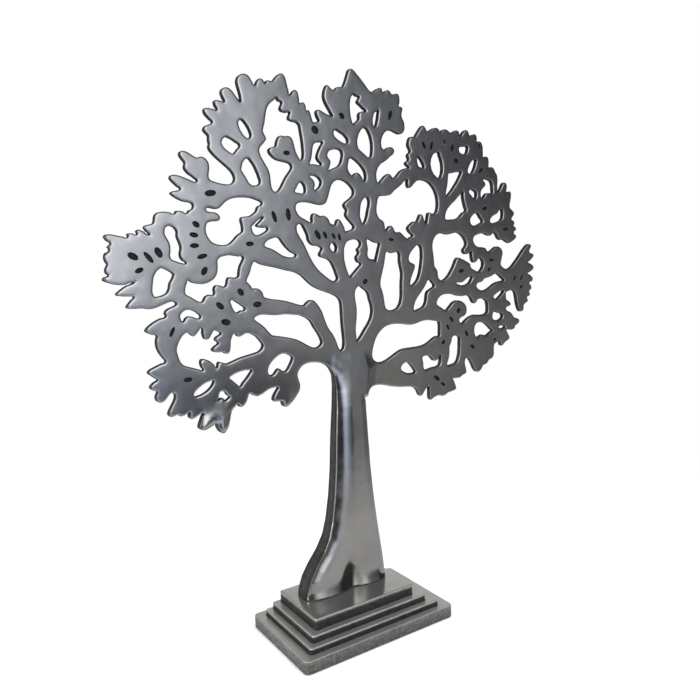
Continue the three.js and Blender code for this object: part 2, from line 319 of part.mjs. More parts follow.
    [-104.2, 236.8, 1], [-104, 232], [-103.4, 229.4], [-101.6, 228.5], [-99.8, 229.4],
    [-98.4, 232], [-96.8, 234.2], [-95, 234.4], [-91.2, 231.4, 1], [-94, 229.6],
    [-96.4, 228], [-93.6, 225.2, 1], [-96.4, 223], [-98.8, 221.4], [-97.4, 220],
    [-94, 219.5], [-91, 219.6], [-89.6, 218.2], [-88, 217.7], [-86.4, 218.8], [-85.8, 222],
    [-85.4, 226], [-84.4, 229], [-81.6, 230.8, 1], [-80.4, 229.2], [-79, 228.2],
    [-77, 228.8], [-75, 230], [-72.4, 230.3], [-69, 229], [-66, 227], [-63.4, 223.8],
    [-61.4, 220.8], [-62, 218], [-65, 215.9], [-69, 215.1], [-74, 214.3], [-80, 213.1],
    [-84.6, 211.6], [-88.6, 210.5], [-91.4, 211.4], [-94.6, 212.8], [-96, 208.4, 1],
    [-98.6, 211.8], [-101, 214], [-104, 215.5], [-106.6, 215.7], [-107, 213],
    [-105, 208, 1], [-109, 209.4], [-114, 211.2], [-118.4, 213], [-120.4, 215],
    [-121.8, 219]],
  [[-118.8, 245.6], [-117, 247.8], [-114, 249.2], [-110.6, 248.8], [-107.4, 247],
    [-104.8, 244.6], [-105, 242.4], [-107.6, 242.3], [-110.4, 243.7], [-113, 244.2],
    [-115, 243], [-116.6, 241], [-118.4, 242.2]],
  [[-84.2, 252], [-83.2, 249], [-82.2, 246], [-79.6, 243.2, 1], [-76.8, 244.8],
    [-73.4, 245.4], [-73.4, 247.2], [-76, 249.2], [-78.6, 251.2], [-81, 252.8], [-83, 253]],
  [[36.4, 311], [37, 315], [38, 319], [39.4, 321.2], [43, 321.7], [48, 321.9], [50.6, 322.6],
    [53.4, 325.4], [57, 327.6], [60, 329.6], [63, 332.4], [66.6, 334, 1], [66.8, 330.6],
    [67, 328], [69, 327.6], [71, 329.4], [73.4, 331.8], [76, 333.4], [80, 333.9],
    [85, 333.2], [89.6, 331], [93, 327.4], [95.6, 322], [96.4, 317], [96.2, 312.4],
    [94.6, 308.6], [91.8, 307.4], [89.4, 307.9], [87.8, 308.8], [86.6, 308.4], [86, 306],
    [85.2, 302], [84, 300, 1], [82.4, 301.2], [81.2, 304], [80.4, 306.4], [79.2, 307.6],
    [78.2, 307], [77, 304.6], [75.8, 302.4], [74, 301.4, 1], [71.6, 302], [69.8, 300.6],
    [67.6, 299.2], [66, 297.6], [66.6, 295.6], [68.6, 293.4], [71, 291.4, 1], [67.6, 289.6],
    [65.4, 288.6, 1], [63.4, 289.8], [60.4, 292.2], [57.6, 294.4], [54.6, 293.5, 1],
    [52.6, 295], [51.4, 297.8], [49.8, 299.2], [48.6, 298.6], [46.6, 296.4], [44.4, 295.5, 1],
    [43.6, 298.4], [43.2, 301.4], [41.6, 303.2], [39, 304.2], [37.8, 306], [36.6, 308.4]],
  [[65.2, 273.4], [66, 277], [68.4, 280], [71.6, 282.8], [74, 284.6], [76.6, 285],
    [78.8, 282.4], [79.2, 277], [78.8, 272], [77.6, 266], [75.8, 260], [73, 255.6],
    [69.4, 253.2], [66.6, 253.3], [66, 255.4], [67.4, 259.6], [69.4, 263.4], [71.2, 267],
    [71.4, 269.2], [69, 270.2], [66.4, 271.2]],
  [[89.2, 284], [90.4, 288], [93, 291.4], [96.6, 293], [101, 293.1], [105.4, 291.9],
    [109.4, 292.5], [114, 293.5], [118.4, 292.9], [122.2, 290.2], [125.2, 286.2],
    [126, 283.4], [124.4, 280.8], [122.2, 279.4], [122.6, 276.9], [124.6, 275.6],
    [127, 276], [130.8, 277.9, 1], [131.4, 274.4], [132, 270.6], [133.6, 268.2],
    [136, 269.2], [138, 271.6], [140, 273.4, 1], [142.6, 271.2], [144.4, 268.6],
    [144.2, 265], [142.6, 262.2], [139.6, 260.2], [136.4, 260.6], [133, 262.4],
    [130.4, 263.4], [129.4, 265], [129.2, 267.2], [127, 268.4], [123, 270.4], [119, 272],
    [116.2, 273], [114.4, 271.6], [112.4, 267.4], [109.4, 262.8], [106.4, 259],
    [103, 256.4], [99, 255], [96, 256], [94.2, 258.6], [94.2, 262], [93.4, 264.4],
    [91, 266.4], [90.6, 270], [90.2, 275], [89.4, 280]],
  [[113.6, 252.8], [115, 253.8], [118, 253], [121, 253.4], [124, 255.4], [127.6, 257.2],
    [131.8, 257.3, 1], [131, 254.4], [128.6, 251.6], [124.6, 250.2], [120, 250],
    [116.4, 251]],
  [[102.8, 305], [103.4, 308], [105.4, 311.6], [109, 315], [113.6, 318.2], [117.4, 321.6],
    [120, 323.8], [122.8, 325.8, 1], [123.3, 320], [124.7, 315], [126.2, 310.2, 1],
    [122, 308], [119, 305], [116, 303.6], [110, 303.2], [105, 303], [103.4, 303.4]],
  [[104.2, 324.6], [105.4, 328.4], [106.4, 333], [106.8, 337.6], [107.8, 339.8],
    [111, 339.8], [114.4, 340.5], [118, 341.2], [121.6, 340.9, 1], [120, 337],
    [117.4, 333.2], [113.8, 329], [110.4, 325.2], [106.8, 322], [104.6, 322]],
  [[89.2, 346], [90.2, 350.4], [92.4, 353.6], [95.4, 355], [98.2, 354.9], [100, 351.6],
    [101.6, 347], [102, 342.6], [101.2, 338.4], [99, 335.6], [95.6, 335.6], [92, 338.4],
    [90, 342]],
  [[75.8, 349], [77, 351.8], [79.8, 350], [82.8, 345.8], [83.4, 342.9], [80.6, 342.3],
    [77.2, 343.4], [76.2, 346]],
  [[118.4, 357.6], [119.2, 360.2], [122.6, 360.7], [126, 361], [128.6, 360.9],
    [128.6, 357], [127, 354.7], [123.4, 354.2], [119.8, 355.2]],
  [[127.4, 340.8], [128.6, 344.4], [130.8, 348], [133.4, 350.6], [137.6, 350.8],
    [137.4, 347.6], [135.4, 342.8], [132.8, 339.4], [129.2, 339.2]],
  [[128.8, 325.6], [130.6, 327.2], [134.2, 327.2], [137.6, 325.2], [137.9, 322],
    [136.6, 319.4], [134.4, 319.2], [132.2, 321.4], [130.2, 323.2]],
  [[129.4, 302.6], [130.4, 305], [133.4, 307.5], [136.4, 308.9], [138.8, 308.8],
    [141.6, 305.2], [144.4, 301.5, 1], [141, 299.4], [136, 298], [132, 298.2], [130, 300]],
  [[151.4, 302.4], [154, 305.4], [157.4, 307.2], [160.4, 308], [162, 310.4],
    [163.8, 311.8], [166.8, 311.6], [167.4, 308], [167, 304.4], [165.2, 301.8],
    [161, 300.6], [156, 299.6], [152.4, 300.2]],
  [[141.4, 322], [141.8, 326.2], [144, 328.4], [147.4, 330.8], [146.4, 333], [144.4, 335],
    [147, 336.1], [151, 335.6], [154.6, 334.2], [155.8, 330], [155.6, 324, 1],
    [152, 324.1], [148.6, 324.2], [147, 322.4], [145, 320], [142.6, 319.6]],
  [[69, 236.6], [70.6, 240.6], [73.6, 244.6], [77.6, 248.6], [81.4, 253], [83.6, 256.6],
    [85.6, 258], [87.8, 256.6], [91.4, 251.6, 1], [87.8, 249.4], [84.6, 248], [83, 245.6],
    [82.6, 242], [82, 238.8], [79.8, 236], [75, 234.2], [71, 233.2], [69, 234]],
  [[92.2, 238], [93.4, 241], [96.4, 243.5], [100, 244.7], [106, 244.7], [110.4, 244.3],
    [114.4, 242.8], [119, 242], [124, 242.3], [127.6, 241.9], [129.6, 240.4],
    [131, 237.8], [132.2, 235.6], [134, 234.8], [135.4, 236.6], [137.4, 238.4],
    [140.6, 238.8], [144.6, 238], [147.8, 235.8], [148.8, 230.6], [148.2, 225.4],
    [144.4, 224.3], [138, 224.5], [133, 225], [128.4, 223.8], [124, 221.4], [120.6, 219],
    [118, 219.2], [116, 221], [116, 223.2], [118, 224.7], [121.6, 225.5], [123.9, 227.5],
    [124.5, 230.4], [123.3, 234], [120.6, 236.5], [117, 238], [113.4, 238.2],
    [110, 236.8], [106.8, 233.8], [103.4, 231], [100.4, 231.6], [97.6, 233.6],
    [94.6, 235.2], [92.8, 236.4]],
  [[28, 204], [28.8, 208], [30.6, 213], [33.4, 218], [37.4, 221.8], [42, 224.4],
    [48, 225.4], [54, 225.2], [60, 224.2], [65, 223.4], [70, 223.6], [76, 225],
    [82, 225.6], [88, 224.7], [95.4, 223.4, 1], [96, 219], [95.6, 213.4], [95.4, 211.2, 1],
    [92, 211.2], [88.4, 209.5], [84, 206.9], [78, 205.1], [71, 204.6], [64, 204.6],
    [57, 204.2], [52, 202.2], [46, 199.2], [40, 196.9], [35, 196.5], [31, 198],
    [28.6, 200.6]],
  [[54.6, 190], [55.8, 192.6], [59, 194.1], [62.2, 194.6], [65, 192], [67.8, 188.6],
    [69.8, 185, 1], [66, 184.2], [62, 184.7], [58, 186.4], [55.4, 188.2]],
  [[76.2, 195.8], [77.6, 197.2], [80.6, 197.3], [83.6, 197.2], [86.2, 195], [88, 192.6],
    [90, 191.8], [92.2, 192.6], [93.8, 195], [95.6, 196.4], [96, 193], [95.6, 189],
    [94.4, 187], [91, 186.4], [86, 186], [81, 185], [78.2, 185.8], [77.2, 188],
    [77.2, 192]],
  [[102.2, 188.4], [103.8, 192], [104.8, 197], [105, 202], [106.8, 205], [108, 209],
    [109.6, 210.2], [113.8, 210.4], [116.8, 208.2], [116.8, 203], [116.6, 198],
    [115.8, 193], [114.2, 188.8], [112, 186.8], [108.6, 186.2], [105, 185.8],
    [102.8, 186.4]],
  [[132.2, 212], [133.2, 216.6], [136.2, 218.9], [140.4, 219], [144.8, 217.8],
    [148.2, 215.4], [151.2, 212.6], [153.8, 209.9, 1], [150, 207.8], [147.2, 206.2],
    [144.4, 206.6], [141.6, 207.8], [139, 206.3], [136.6, 205.4], [134.2, 206.8],
    [132.8, 209]],
  [[153.2, 222], [154.2, 225.4], [156.4, 227.1], [158.4, 226.2], [161, 224.8],
    [164.2, 224.6], [166.4, 222.4], [165.8, 219.8], [163, 218.4], [159, 218], [155.4, 218.8],
    [153.6, 220.2]],
  [[154.8, 238.6], [157, 240.9], [160.4, 242.5], [164, 243.8], [167.6, 243.2, 1],
    [166, 240.4], [163, 238.2], [160, 236.2], [157.2, 236.4]],
  [[160.4, 212.6], [163.4, 213.9], [167, 213.4], [169.4, 212.4], [168, 211], [165, 210.4],
    [162.2, 211.2]],
  [[135.2, 249.4], [136.6, 251.4], [139.6, 252.2], [142.6, 252.4], [143.8, 254.4],
    [147, 255.4], [151, 255.9], [154.4, 257.1], [157, 258.4], [160.4, 258.2],
    [163.6, 256], [166.4, 253.6], [168.4, 252, 1], [164, 251], [160, 250.6],
    [156, 249.2], [152, 246.8], [148, 245.1], [144, 244.3], [139.6, 245.1],
    [136.4, 247]],
  [[-5, 286], [-3.6, 288.2], [-1, 288.1], [1, 285.4], [0.6, 282], [-1.4, 280.8],
    [-3.4, 282.2], [-5, 284]],
];

// Almond shaped pits: [x, z, length, width, turn in degrees from the x axis]
const PITS = [
  [-145.3, 283.6, 7.5, 4.2, -30], [-135.8, 282.6, 9, 3.2, -52], [-129.4, 285.4, 7.5, 4.4, -62],
  [-142.2, 275, 6, 3.2, 20], [-104, 302.2, 5.6, 3.8, -35], [-105.9, 295.6, 6.4, 3.4, -12],
  [-106, 288.9, 6.6, 3.2, 0], [-101.3, 282, 7.6, 3.2, 12], [-100.6, 272.6, 6.4, 4, 55],
  [-93, 321.6, 8.4, 4.2, 6], [-48.4, 306.6, 8.4, 3.4, -72], [-37.6, 308, 9, 4, -85],
  [-67.6, 289, 6.4, 3.4, 0], [-76.2, 257.6, 6, 4.2, -50], [-91.4, 249.6, 7, 4, -40],
  [-36.6, 348.8, 5.6, 3.4, 5], [9, 376, 5.4, 4.2, -40], [51.4, 379.4, 8, 3.6, 70],
  [-13.5, 365.2, 6.4, 5.4, -35], [-64.6, 248.6, 7, 4.2, 0], [-88, 238.6, 7.2, 4.4, -15],
  [-124.6, 235.6, 7.4, 2.6, 62], [-116.5, 204, 6.6, 3.4, 0], [118.8, 262.2, 6.4, 3.4, 8],
  [115.2, 230.2, 4.8, 4.2, 30], [107.4, 223.8, 6.4, 2.8, -50], [103.4, 217.8, 5.6, 2.6, -58],
  [123.6, 210.6, 6.4, 3, -62], [90.6, 177.6, 8, 3.4, -35], [130, 199, 6, 3.2, -30],
  [145.6, 312, 6.4, 3, 12], [169.4, 294.8, 6.8, 2.8, 0], [152.6, 269.6, 6, 2.6, 0],
  [150, 262, 5, 2.6, 40], [180, 253.2, 6.6, 2.4, 60], [188.4, 253.4, 6.6, 2.4, 60],
  [188, 245.2, 5, 2.4, 25], [141.6, 342.2, 6.4, 3, 35], [82.8, 359.4, 7, 3, -62],
  [90.4, 359.4, 7.4, 3, 75], [111.4, 358.4, 6.6, 3.4, 70], [115.2, 349, 6, 4.2, 0],
  [103.4, 363.4, 9, 1.8, -80], [-15, 293.8, 8, 4, -60], [-9, 293.6, 6, 3, -60],
  [-1.8, 292.6, 5.2, 2.6, -55], [3, 291.8, 5.6, 2.6, -80], [49, 289, 5.6, 2.6, -10],
  [24, 259, 5, 3.6, 30], [97, 171.8, 6, 2.4, -35], [98.3, 206, 5, 3.4, 30],
  [158, 229.2, 6.4, 2.2, 80], [152.2, 207.7, 4.6, 2.4, 60], [155.8, 202.4, 4, 2.2, 30],
  [140.6, 362, 5, 1.8, 75],
];

const scaleX = CANOPY_WIDTH / DRAWN_WIDTH;
const scaleZ = (TREE_TOP - BASE_HEIGHT) / (DRAWN_TOP - DRAWN_FOOT);
const placeX = (x) => x * scaleX;
const placeZ = (z) => BASE_HEIGHT + (z - DRAWN_FOOT) * scaleZ;

// Smooth curve through one run of points, with more steps where they lie further apart
function traceRun(run, closed) {
  const points = run.map(([x, z]) => new THREE.Vector3(placeX(x), placeZ(z), 0));
  const spans = closed ? points.length : points.length - 1;
  const curve = new THREE.CatmullRomCurve3(points, closed, 'centripetal');
  const traced = [];
  for (let i = 0; i < spans; i += 1) {
    const gap = points[i].distanceTo(points[(i + 1) % points.length]);
    const steps = gap < 5 ? 1 : 2;
    for (let j = 0; j < steps; j += 1) {
      const p = curve.getPoint((i + j / steps) / spans);
      traced.push(new THREE.Vector2(p.x, p.y));
    }
  }
  return traced;
}

// Closed outline, broken at its sharp corners
function traceOutline(outline) {
  const start = outline.findIndex((point) => point[2] === 1);
  if (start < 0) {
    return traceRun(outline, true);
  }
  const turned = [...outline.slice(start), ...outline.slice(0, start + 1)];
  const traced = [];
  let run = [turned[0]];
  for (let i = 1; i < turned.length; i += 1) {
    run.push(turned[i]);
    if (turned[i][2] === 1) {
      traced.push(...traceRun(run, false));
      run = [turned[i]];
    }
  }
  return traced;
}

function toSolid(geometry) {
  const plain = geometry.clone();
  plain.deleteAttribute('normal');
  plain.deleteAttribute('uv');
  const merged = BufferGeometryUtils.mergeVertices(plain, 1e-4);
  return new wasm.Manifold(new wasm.Mesh({
    numProp: 3,
    vertProperties: new Float32Array(merged.attributes.position.array),
    triVerts: new Uint32Array(merged.index.array),
  }));
}

function toGeometry(solid) {
  const mesh = solid.getMesh();
  const geometry = new THREE.BufferGeometry();
  const corners = new Float32Array(mesh.vertProperties);
  geometry.setAttribute('position', new THREE.BufferAttribute(corners, 3));
  geometry.setIndex(new THREE.BufferAttribute(new Uint32Array(mesh.triVerts), 1));
  geometry.computeVertexNormals();
  return geometry;
}

// Flat outline in X and Z, from y = front to y = back
function uprightPlate(points, front, back) {
  const shape = new THREE.Shape(points);
  const geometry = new THREE.ExtrudeGeometry(shape, { depth: back - front, bevelEnabled: false });
  geometry.rotateX(Math.PI / 2);
  geometry.translate(0, back, 0);
  return toSolid(geometry);
}

// Rounded rectangle in X and Y, from z = bottom to z = top
function slab(left, right, front, back, radius, bottom, top) {
  const shape = new THREE.Shape();
  shape.moveTo(left + radius, front);
  shape.lineTo(right - radius, front);
  shape.absarc(right - radius, front + radius, radius, -Math.PI / 2, 0, false);
  shape.absarc(right - radius, back - radius, radius, 0, Math.PI / 2, false);
  shape.absarc(left + radius, back - radius, radius, Math.PI / 2, Math.PI, false);
  shape.absarc(left + radius, front + radius, radius, Math.PI, Math.PI * 1.5, false);
  const geometry = new THREE.ExtrudeGeometry(shape, {
    depth: top - bottom, bevelEnabled: false, curveSegments: 5,
  });
  geometry.translate(0, 0, bottom);
  return toSolid(geometry);
}

function rod(diameter, bottom, top, x, y, sides) {
  const geometry = new THREE.CylinderGeometry(diameter / 2, diameter / 2, top - bottom, sides);
  geometry.rotateX(Math.PI / 2);
  geometry.translate(x, y, (top + bottom) / 2);
  return toSolid(geometry);
}

// Closed cylinder whose rings are drawn out to the trunk's sections, with flat sides and round edges
function trunkSolid() {
  const around = 24;
  const flatness = 3.2;
  const rings = TRUNK.length - 1;
  const geometry = new THREE.CylinderGeometry(1, 1, 1, around, rings);
  geometry.rotateX(Math.PI / 2);
  const position = geometry.attributes.position;
  const bulge = (value) => Math.sign(value) * Math.abs(value) ** (2 / flatness);
  for (let i = 0; i < position.count; i += 1) {
    const row = TRUNK[Math.round((position.getZ(i) + 0.5) * rings)];
    const [height, left, right, front, back] = row;
    const radius = Math.hypot(position.getX(i), position.getY(i));
    const turn = Math.atan2(position.getY(i), position.getX(i));
    const across = radius > 0.5 ? bulge(Math.cos(turn)) : 0;
    const along = radius > 0.5 ? bulge(Math.sin(turn)) : 0;
    const x = placeX((left + right) / 2 + across * (right - left) / 2);
    const y = (front + back) / 2 + along * (back - front) / 2;
    position.setXYZ(i, x, y, placeZ(height - CLEARANCE) + CLEARANCE);
  }
  return toSolid(geometry);
}

const canopyBack = CANOPY_FRONT + CANOPY_PLATE;
const footBottom = BASE_HEIGHT + CLEARANCE;
const boltSeat = BASE_HEIGHT - BASE_WALL;
const boltBore = SCREW_DIAMETER + 2 * CLEARANCE;
const boltXs = [SCREW_X - SCREW_SPACING / 2, SCREW_X + SCREW_SPACING / 2];

function buildTree() {
  let tree = uprightPlate(traceOutline(RIM), CANOPY_FRONT, canopyBack).add(trunkSolid());
  for (const outline of WINDOWS) {
    tree = tree.subtract(uprightPlate(traceOutline(outline), CANOPY_FRONT - 9, canopyBack + 9));
  }
  for (const [x, z, length, width, turn] of PITS) {
    const pit = new THREE.CylinderGeometry(0.5, 0.5, 2 * PIT_DEPTH, 8);
    pit.scale(length, 1, width);
    pit.rotateY(-THREE.MathUtils.degToRad(turn));
    pit.translate(placeX(x), CANOPY_FRONT, placeZ(z));
    tree = tree.subtract(toSolid(pit));
  }
  for (const x of boltXs) {
    tree = tree.subtract(rod(boltBore, footBottom - 5, footBottom + SCREW_GRIP + 1, x, SCREW_Y, 16));
  }
  return tree;
}

// One step of the base, drawn in by a further margin on all sides
function step(index, margin, bottom, top) {
  const [left, right, front, back] = STEP_INSETS[index];
  return slab(
    -BASE_LENGTH / 2 + left + margin,
    BASE_LENGTH / 2 - right - margin,
    -BASE_WIDTH / 2 + front + margin,
    BASE_WIDTH / 2 - back - margin,
    Math.max(STEP_CORNERS[index] - margin / 2, 1),
    bottom,
    top,
  );
}

function buildBase() {
  let base = step(0, 0, RIM_LIFT, STEP_TOPS[0]);
  let hollow = step(0, BASE_WALL, RIM_LIFT - 1, STEP_TOPS[0] - BASE_WALL + 1);
  for (let i = 1; i < STEP_TOPS.length; i += 1) {
    base = base.add(step(i, 0, RIM_LIFT, STEP_TOPS[i]));
    hollow = hollow.add(step(i, BASE_WALL, RIM_LIFT - 1, STEP_TOPS[i] - BASE_WALL));
  }
  base = base.subtract(hollow);
  base = base.subtract(step(0, FELT_MARGIN, RIM_LIFT - 1, FELT_THICKNESS + CLEARANCE));
  for (const x of boltXs) {
    base = base.subtract(rod(boltBore, boltSeat - 2, BASE_HEIGHT + 2, x, SCREW_Y, 16));
  }
  return base;
}

function buildScrew(x) {
  const headTop = boltSeat - WASHER_THICKNESS - LOCK_THICKNESS - 3 * CLEARANCE;
  const headDiameter = SCREW_HEAD_ACROSS / Math.cos(Math.PI / 6);
  const shank = rod(SCREW_DIAMETER, headTop - 1, footBottom + SCREW_GRIP, x, SCREW_Y, 16);
  return rod(headDiameter, headTop - SCREW_HEAD_HEIGHT, headTop, x, SCREW_Y, 6).add(shank);
}

function buildRing(x, diameter, top, thickness) {
  const disc = rod(diameter, top - thickness, top, x, SCREW_Y, 24);
  return disc.subtract(rod(boltBore, top - thickness - 1, top + 1, x, SCREW_Y, 16));
}

const part = new THREE.Group();
part.name = 'tree_of_life_ornament';

function addNode(name, solid, color, metalness, roughness) {
  const material = new THREE.MeshStandardMaterial({ color, metalness, roughness });
  const mesh = new THREE.Mesh(toGeometry(solid), material);
  mesh.name = name;
  part.add(mesh);
}

addNode('tree_casting', buildTree(), 0x8c9096, 1, 0.3);
addNode('stepped_base', buildBase(), 0x85888c, 1, 0.34);
addNode('base_felt', step(0, FELT_MARGIN + CLEARANCE, 0, FELT_THICKNESS), 0x20231f, 0, 1);
['left', 'right'].forEach((side, i) => {
  const washerTop = boltSeat - CLEARANCE;
  const lockTop = washerTop - WASHER_THICKNESS - CLEARANCE;
  addNode(`screw_${side}`, buildScrew(boltXs[i]), 0xa5a8ab, 1, 0.4);
  addNode(`washer_${side}`, buildRing(boltXs[i], WASHER_DIAMETER, washerTop, WASHER_THICKNESS),
    0xb0b2b4, 1, 0.4);
  addNode(`lock_washer_${side}`, buildRing(boltXs[i], LOCK_DIAMETER, lockTop, LOCK_THICKNESS),
    0x8f9193, 1, 0.45);
});

// The part's origin lies on the table under the middle of its outer box
const box = new THREE.Box3().setFromObject(part);
const middle = box.getCenter(new THREE.Vector3());
for (const mesh of part.children) {
  mesh.geometry.translate(-middle.x, -middle.y, -box.min.z);
}

export default part;
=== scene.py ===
import math

import bmesh
import bpy
import numpy as np
from mathutils import Matrix, Vector, geometry, kdtree


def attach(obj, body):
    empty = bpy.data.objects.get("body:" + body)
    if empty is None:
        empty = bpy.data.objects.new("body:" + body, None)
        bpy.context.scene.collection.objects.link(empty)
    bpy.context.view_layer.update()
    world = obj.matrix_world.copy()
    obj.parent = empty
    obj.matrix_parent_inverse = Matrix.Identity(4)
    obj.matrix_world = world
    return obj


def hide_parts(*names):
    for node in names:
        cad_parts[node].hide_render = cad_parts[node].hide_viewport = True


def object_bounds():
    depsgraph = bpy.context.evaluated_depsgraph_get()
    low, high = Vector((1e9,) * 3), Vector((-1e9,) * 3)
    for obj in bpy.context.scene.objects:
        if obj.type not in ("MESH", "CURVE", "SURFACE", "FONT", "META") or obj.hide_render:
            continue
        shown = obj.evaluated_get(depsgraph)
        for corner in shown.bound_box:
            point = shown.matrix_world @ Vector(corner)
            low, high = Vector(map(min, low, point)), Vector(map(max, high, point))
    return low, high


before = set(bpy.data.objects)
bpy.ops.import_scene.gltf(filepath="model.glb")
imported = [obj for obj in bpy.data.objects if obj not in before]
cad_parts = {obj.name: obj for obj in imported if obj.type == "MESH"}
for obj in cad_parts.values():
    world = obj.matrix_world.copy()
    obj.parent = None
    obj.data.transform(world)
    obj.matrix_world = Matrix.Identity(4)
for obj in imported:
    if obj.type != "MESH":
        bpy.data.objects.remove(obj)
cad_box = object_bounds()

MM = 0.001

# ---------------------------------------------------------------- sizes, in millimetres
SHIFT_X = -20.1               # the base's middle, from the middle of the whole object

# the tree
PLATE_FRONT, PLATE_BACK = 3.0, 7.2
FOOT_BOTTOM = 28.7
CUT_DEPTH = 5.5               # depth of the cut that gives the tree's outline
BOLT_X = (-40.1, -8.1)
BORE_REACH, BORE_TOP = 3.4, 46.0  # where that cut meets the screw bores
OUTLINE_STEP, PIT_STEP = 1.35, 0.8
CORNER_TURN = 60              # degrees: a sharper turn stays a corner
GROWTH = 0.4                  # the polished rims stand this far out from the cut outline
PIT_FLOOR, PIT_LARGEST = 4.8, 60.0  # depth, and largest area in square millimetres
INSET_ROWS = ((0.15, 0.1), (0.5, 0.28), (1.05, 0.42), (1.7, 0.5), (2.7, 0.85), (4.2, 1.1))
FINE_GRID, COARSE_GRID = 1.3, 3.0
TRUNK_SPAN, TRUNK_TOP = (-62, 14), 222.0  # the part of the tree with the fine grid
WALL_ROWS = 3

# Trunk sections: height, left, right, front, back, and how far forward the left ridge lies
TRUNK = np.array([
    [28.7, -39.0, 30.0, -4.6, 15.0, 1.6],
    [32.0, -38.4, 30.0, -4.1, 15.0, 1.2],
    [36.0, -37.4, 29.9, -3.7, 15.0, 0.8],
    [42.0, -35.2, 29.6, -3.3, 14.8, 0.5],
    [50.0, -30.4, 28.8, -3.0, 14.5, 1.1],
    [60.0, -22.6, 27.4, -2.8, 14.2, 1.8],
    [70.0, -17.0, 26.0, -2.7, 13.8, 2.5],
    [82.0, -13.6, 24.4, -2.7, 13.3, 2.8],
    [100.0, -10.6, 22.3, -2.6, 12.7, 2.9],
    [120.0, -8.6, 20.6, -2.4, 12.1, 2.7],
    [145.0, -7.0, 19.4, -2.0, 11.6, 2.7],
    [168.0, -5.0, 19.0, -0.9, 11.1, 3.1],
    [182.0, -4.4, 19.6, 0.2, 10.4, 3.5],
    [194.0, -5.4, 21.6, 1.4, 9.0, 3.4],
    [206.0, -3.0, 19.0, 2.6, 7.8, 3.6],
    [216.0, 4.0, 13.0, 3.4, 6.8, 3.6],
])

# the base
BASE_LENGTH, BASE_WIDTH = 130.0, 81.2
STEP_TOPS = (9.9, 14.6, 20.0, 28.4)
# how far each step stands in from the lowest: left, right, front, back
STEP_INSETS = ((0, 0, 0, 0), (7.2, 9.7, 5.8, 6.7), (12, 18, 10.7, 9.6), (17.6, 26.4, 15.7, 12))
STEP_CORNERS = (3.6, 1.8, 1.6, 1.4)
CORNER_PARTS = 7
TREAD_ROUND, LOWER_ROUND = 0.6, 0.7
BASE_WALL, RIM_LIFT, FELT_MARGIN, FELT_RECESS = 6.0, 0.4, 3.0, 1.8


# ---------------------------------------------------------------- outline of the tree
def cut_loops(node, depth):
    """Closed loops, in X and Z and millimetres, where the plane y = depth cuts a node."""
    bm = bmesh.new()
    bm.from_mesh(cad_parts[node].data)
    bmesh.ops.remove_doubles(bm, verts=bm.verts, dist=1e-6)
    cut = bmesh.ops.bisect_plane(
        bm, geom=bm.verts[:] + bm.edges[:] + bm.faces[:], dist=1e-7,
        plane_co=(0, depth * MM, 0), plane_no=(0, 1, 0))
    beside = {}
    for edge in cut["geom_cut"]:
        if isinstance(edge, bmesh.types.BMEdge):
            a, b = edge.verts
            beside.setdefault(a, []).append(b)
            beside.setdefault(b, []).append(a)
    loops, seen = [], set()
    for start in beside:
        if start in seen:
            continue
        loop, here, last = [], start, None
        while here is not None and here not in seen:
            seen.add(here)
            loop.append((here.co.x / MM, here.co.z / MM))
            onward = [v for v in beside[here] if v is not last and v not in seen]
            last, here = here, onward[0] if onward else None
        if len(loop) > 5:
            loops.append(np.array(loop))
    bm.free()
    return loops


def area(loop):
    x, z = loop[:, 0], loop[:, 1]
    return 0.5 * np.sum(x * np.roll(z, -1) - np.roll(x, -1) * z)


def thin_out(loop, least=0.12):
    """The loop without points that lie closer together than least."""
    kept = [loop[0]]
    for p in loop[1:]:
        if np.hypot(*(p - kept[-1])) > least:
            kept.append(p)
    if np.hypot(*(kept[0] - kept[-1])) < least:
        kept.pop()
    return np.array(kept)


def spline(points, closed, step):
    """Centripetal curve through the points, one sample about every step."""
    n = len(points)
    out = []
    for i in range(n if closed else n - 1):
        p1, p2 = points[i], points[(i + 1) % n]
        p0 = points[(i - 1) % n] if closed or i > 0 else 2 * p1 - p2
        p3 = points[(i + 2) % n] if closed or i + 2 < n else 2 * p2 - p1
        t1 = math.sqrt(max(np.hypot(*(p1 - p0)), 1e-6))
        t2 = t1 + math.sqrt(max(np.hypot(*(p2 - p1)), 1e-6))
        t3 = t2 + math.sqrt(max(np.hypot(*(p3 - p2)), 1e-6))
        count = max(1, int(round(np.hypot(*(p2 - p1)) / step)))
        for k in range(count):
            t = t1 + (t2 - t1) * k / count
            a1 = p0 * (t1 - t) / t1 + p1 * t / t1
            a2 = p1 * (t2 - t) / (t2 - t1) + p2 * (t - t1) / (t2 - t1)
            a3 = p2 * (t3 - t) / (t3 - t2) + p3 * (t - t2) / (t3 - t2)
            b1 = a1 * (t2 - t) / t2 + a2 * t / t2
            b2 = a2 * (t3 - t) / (t3 - t1) + a3 * (t - t1) / (t3 - t1)
            out.append(b1 * (t2 - t) / (t2 - t1) + b2 * (t - t1) / (t2 - t1))
    return out


def refine(loop, step):
    """The loop as a smooth line that keeps its sharp corners, softened a little."""
    loop = thin_out(loop)
    before = loop - np.roll(loop, 1, 0)
    after = np.roll(loop, -1, 0) - loop
    turn = np.degrees(np.abs(np.arctan2(
        before[:, 0] * after[:, 1] - before[:, 1] * after[:, 0],
        (before * after).sum(1))))
    corners = [i for i in range(len(loop)) if turn[i] > CORNER_TURN]
    if not corners:
        return np.array(spline(loop, True, step))
    out = []
    for a, b in zip(corners, corners[1:] + [corners[0] + len(loop)]):
        run = np.array([loop[i % len(loop)] for i in range(a, b + 1)])
        out += spline(run, False, step)
    out = np.array(out)
    soft = out + 0.22 * (np.roll(out, 1, 0) + np.roll(out, -1, 0) - 2 * out)
    foot = out[:, 1] < FOOT_BOTTOM + 1.5
    soft[foot] = out[foot]
    return soft


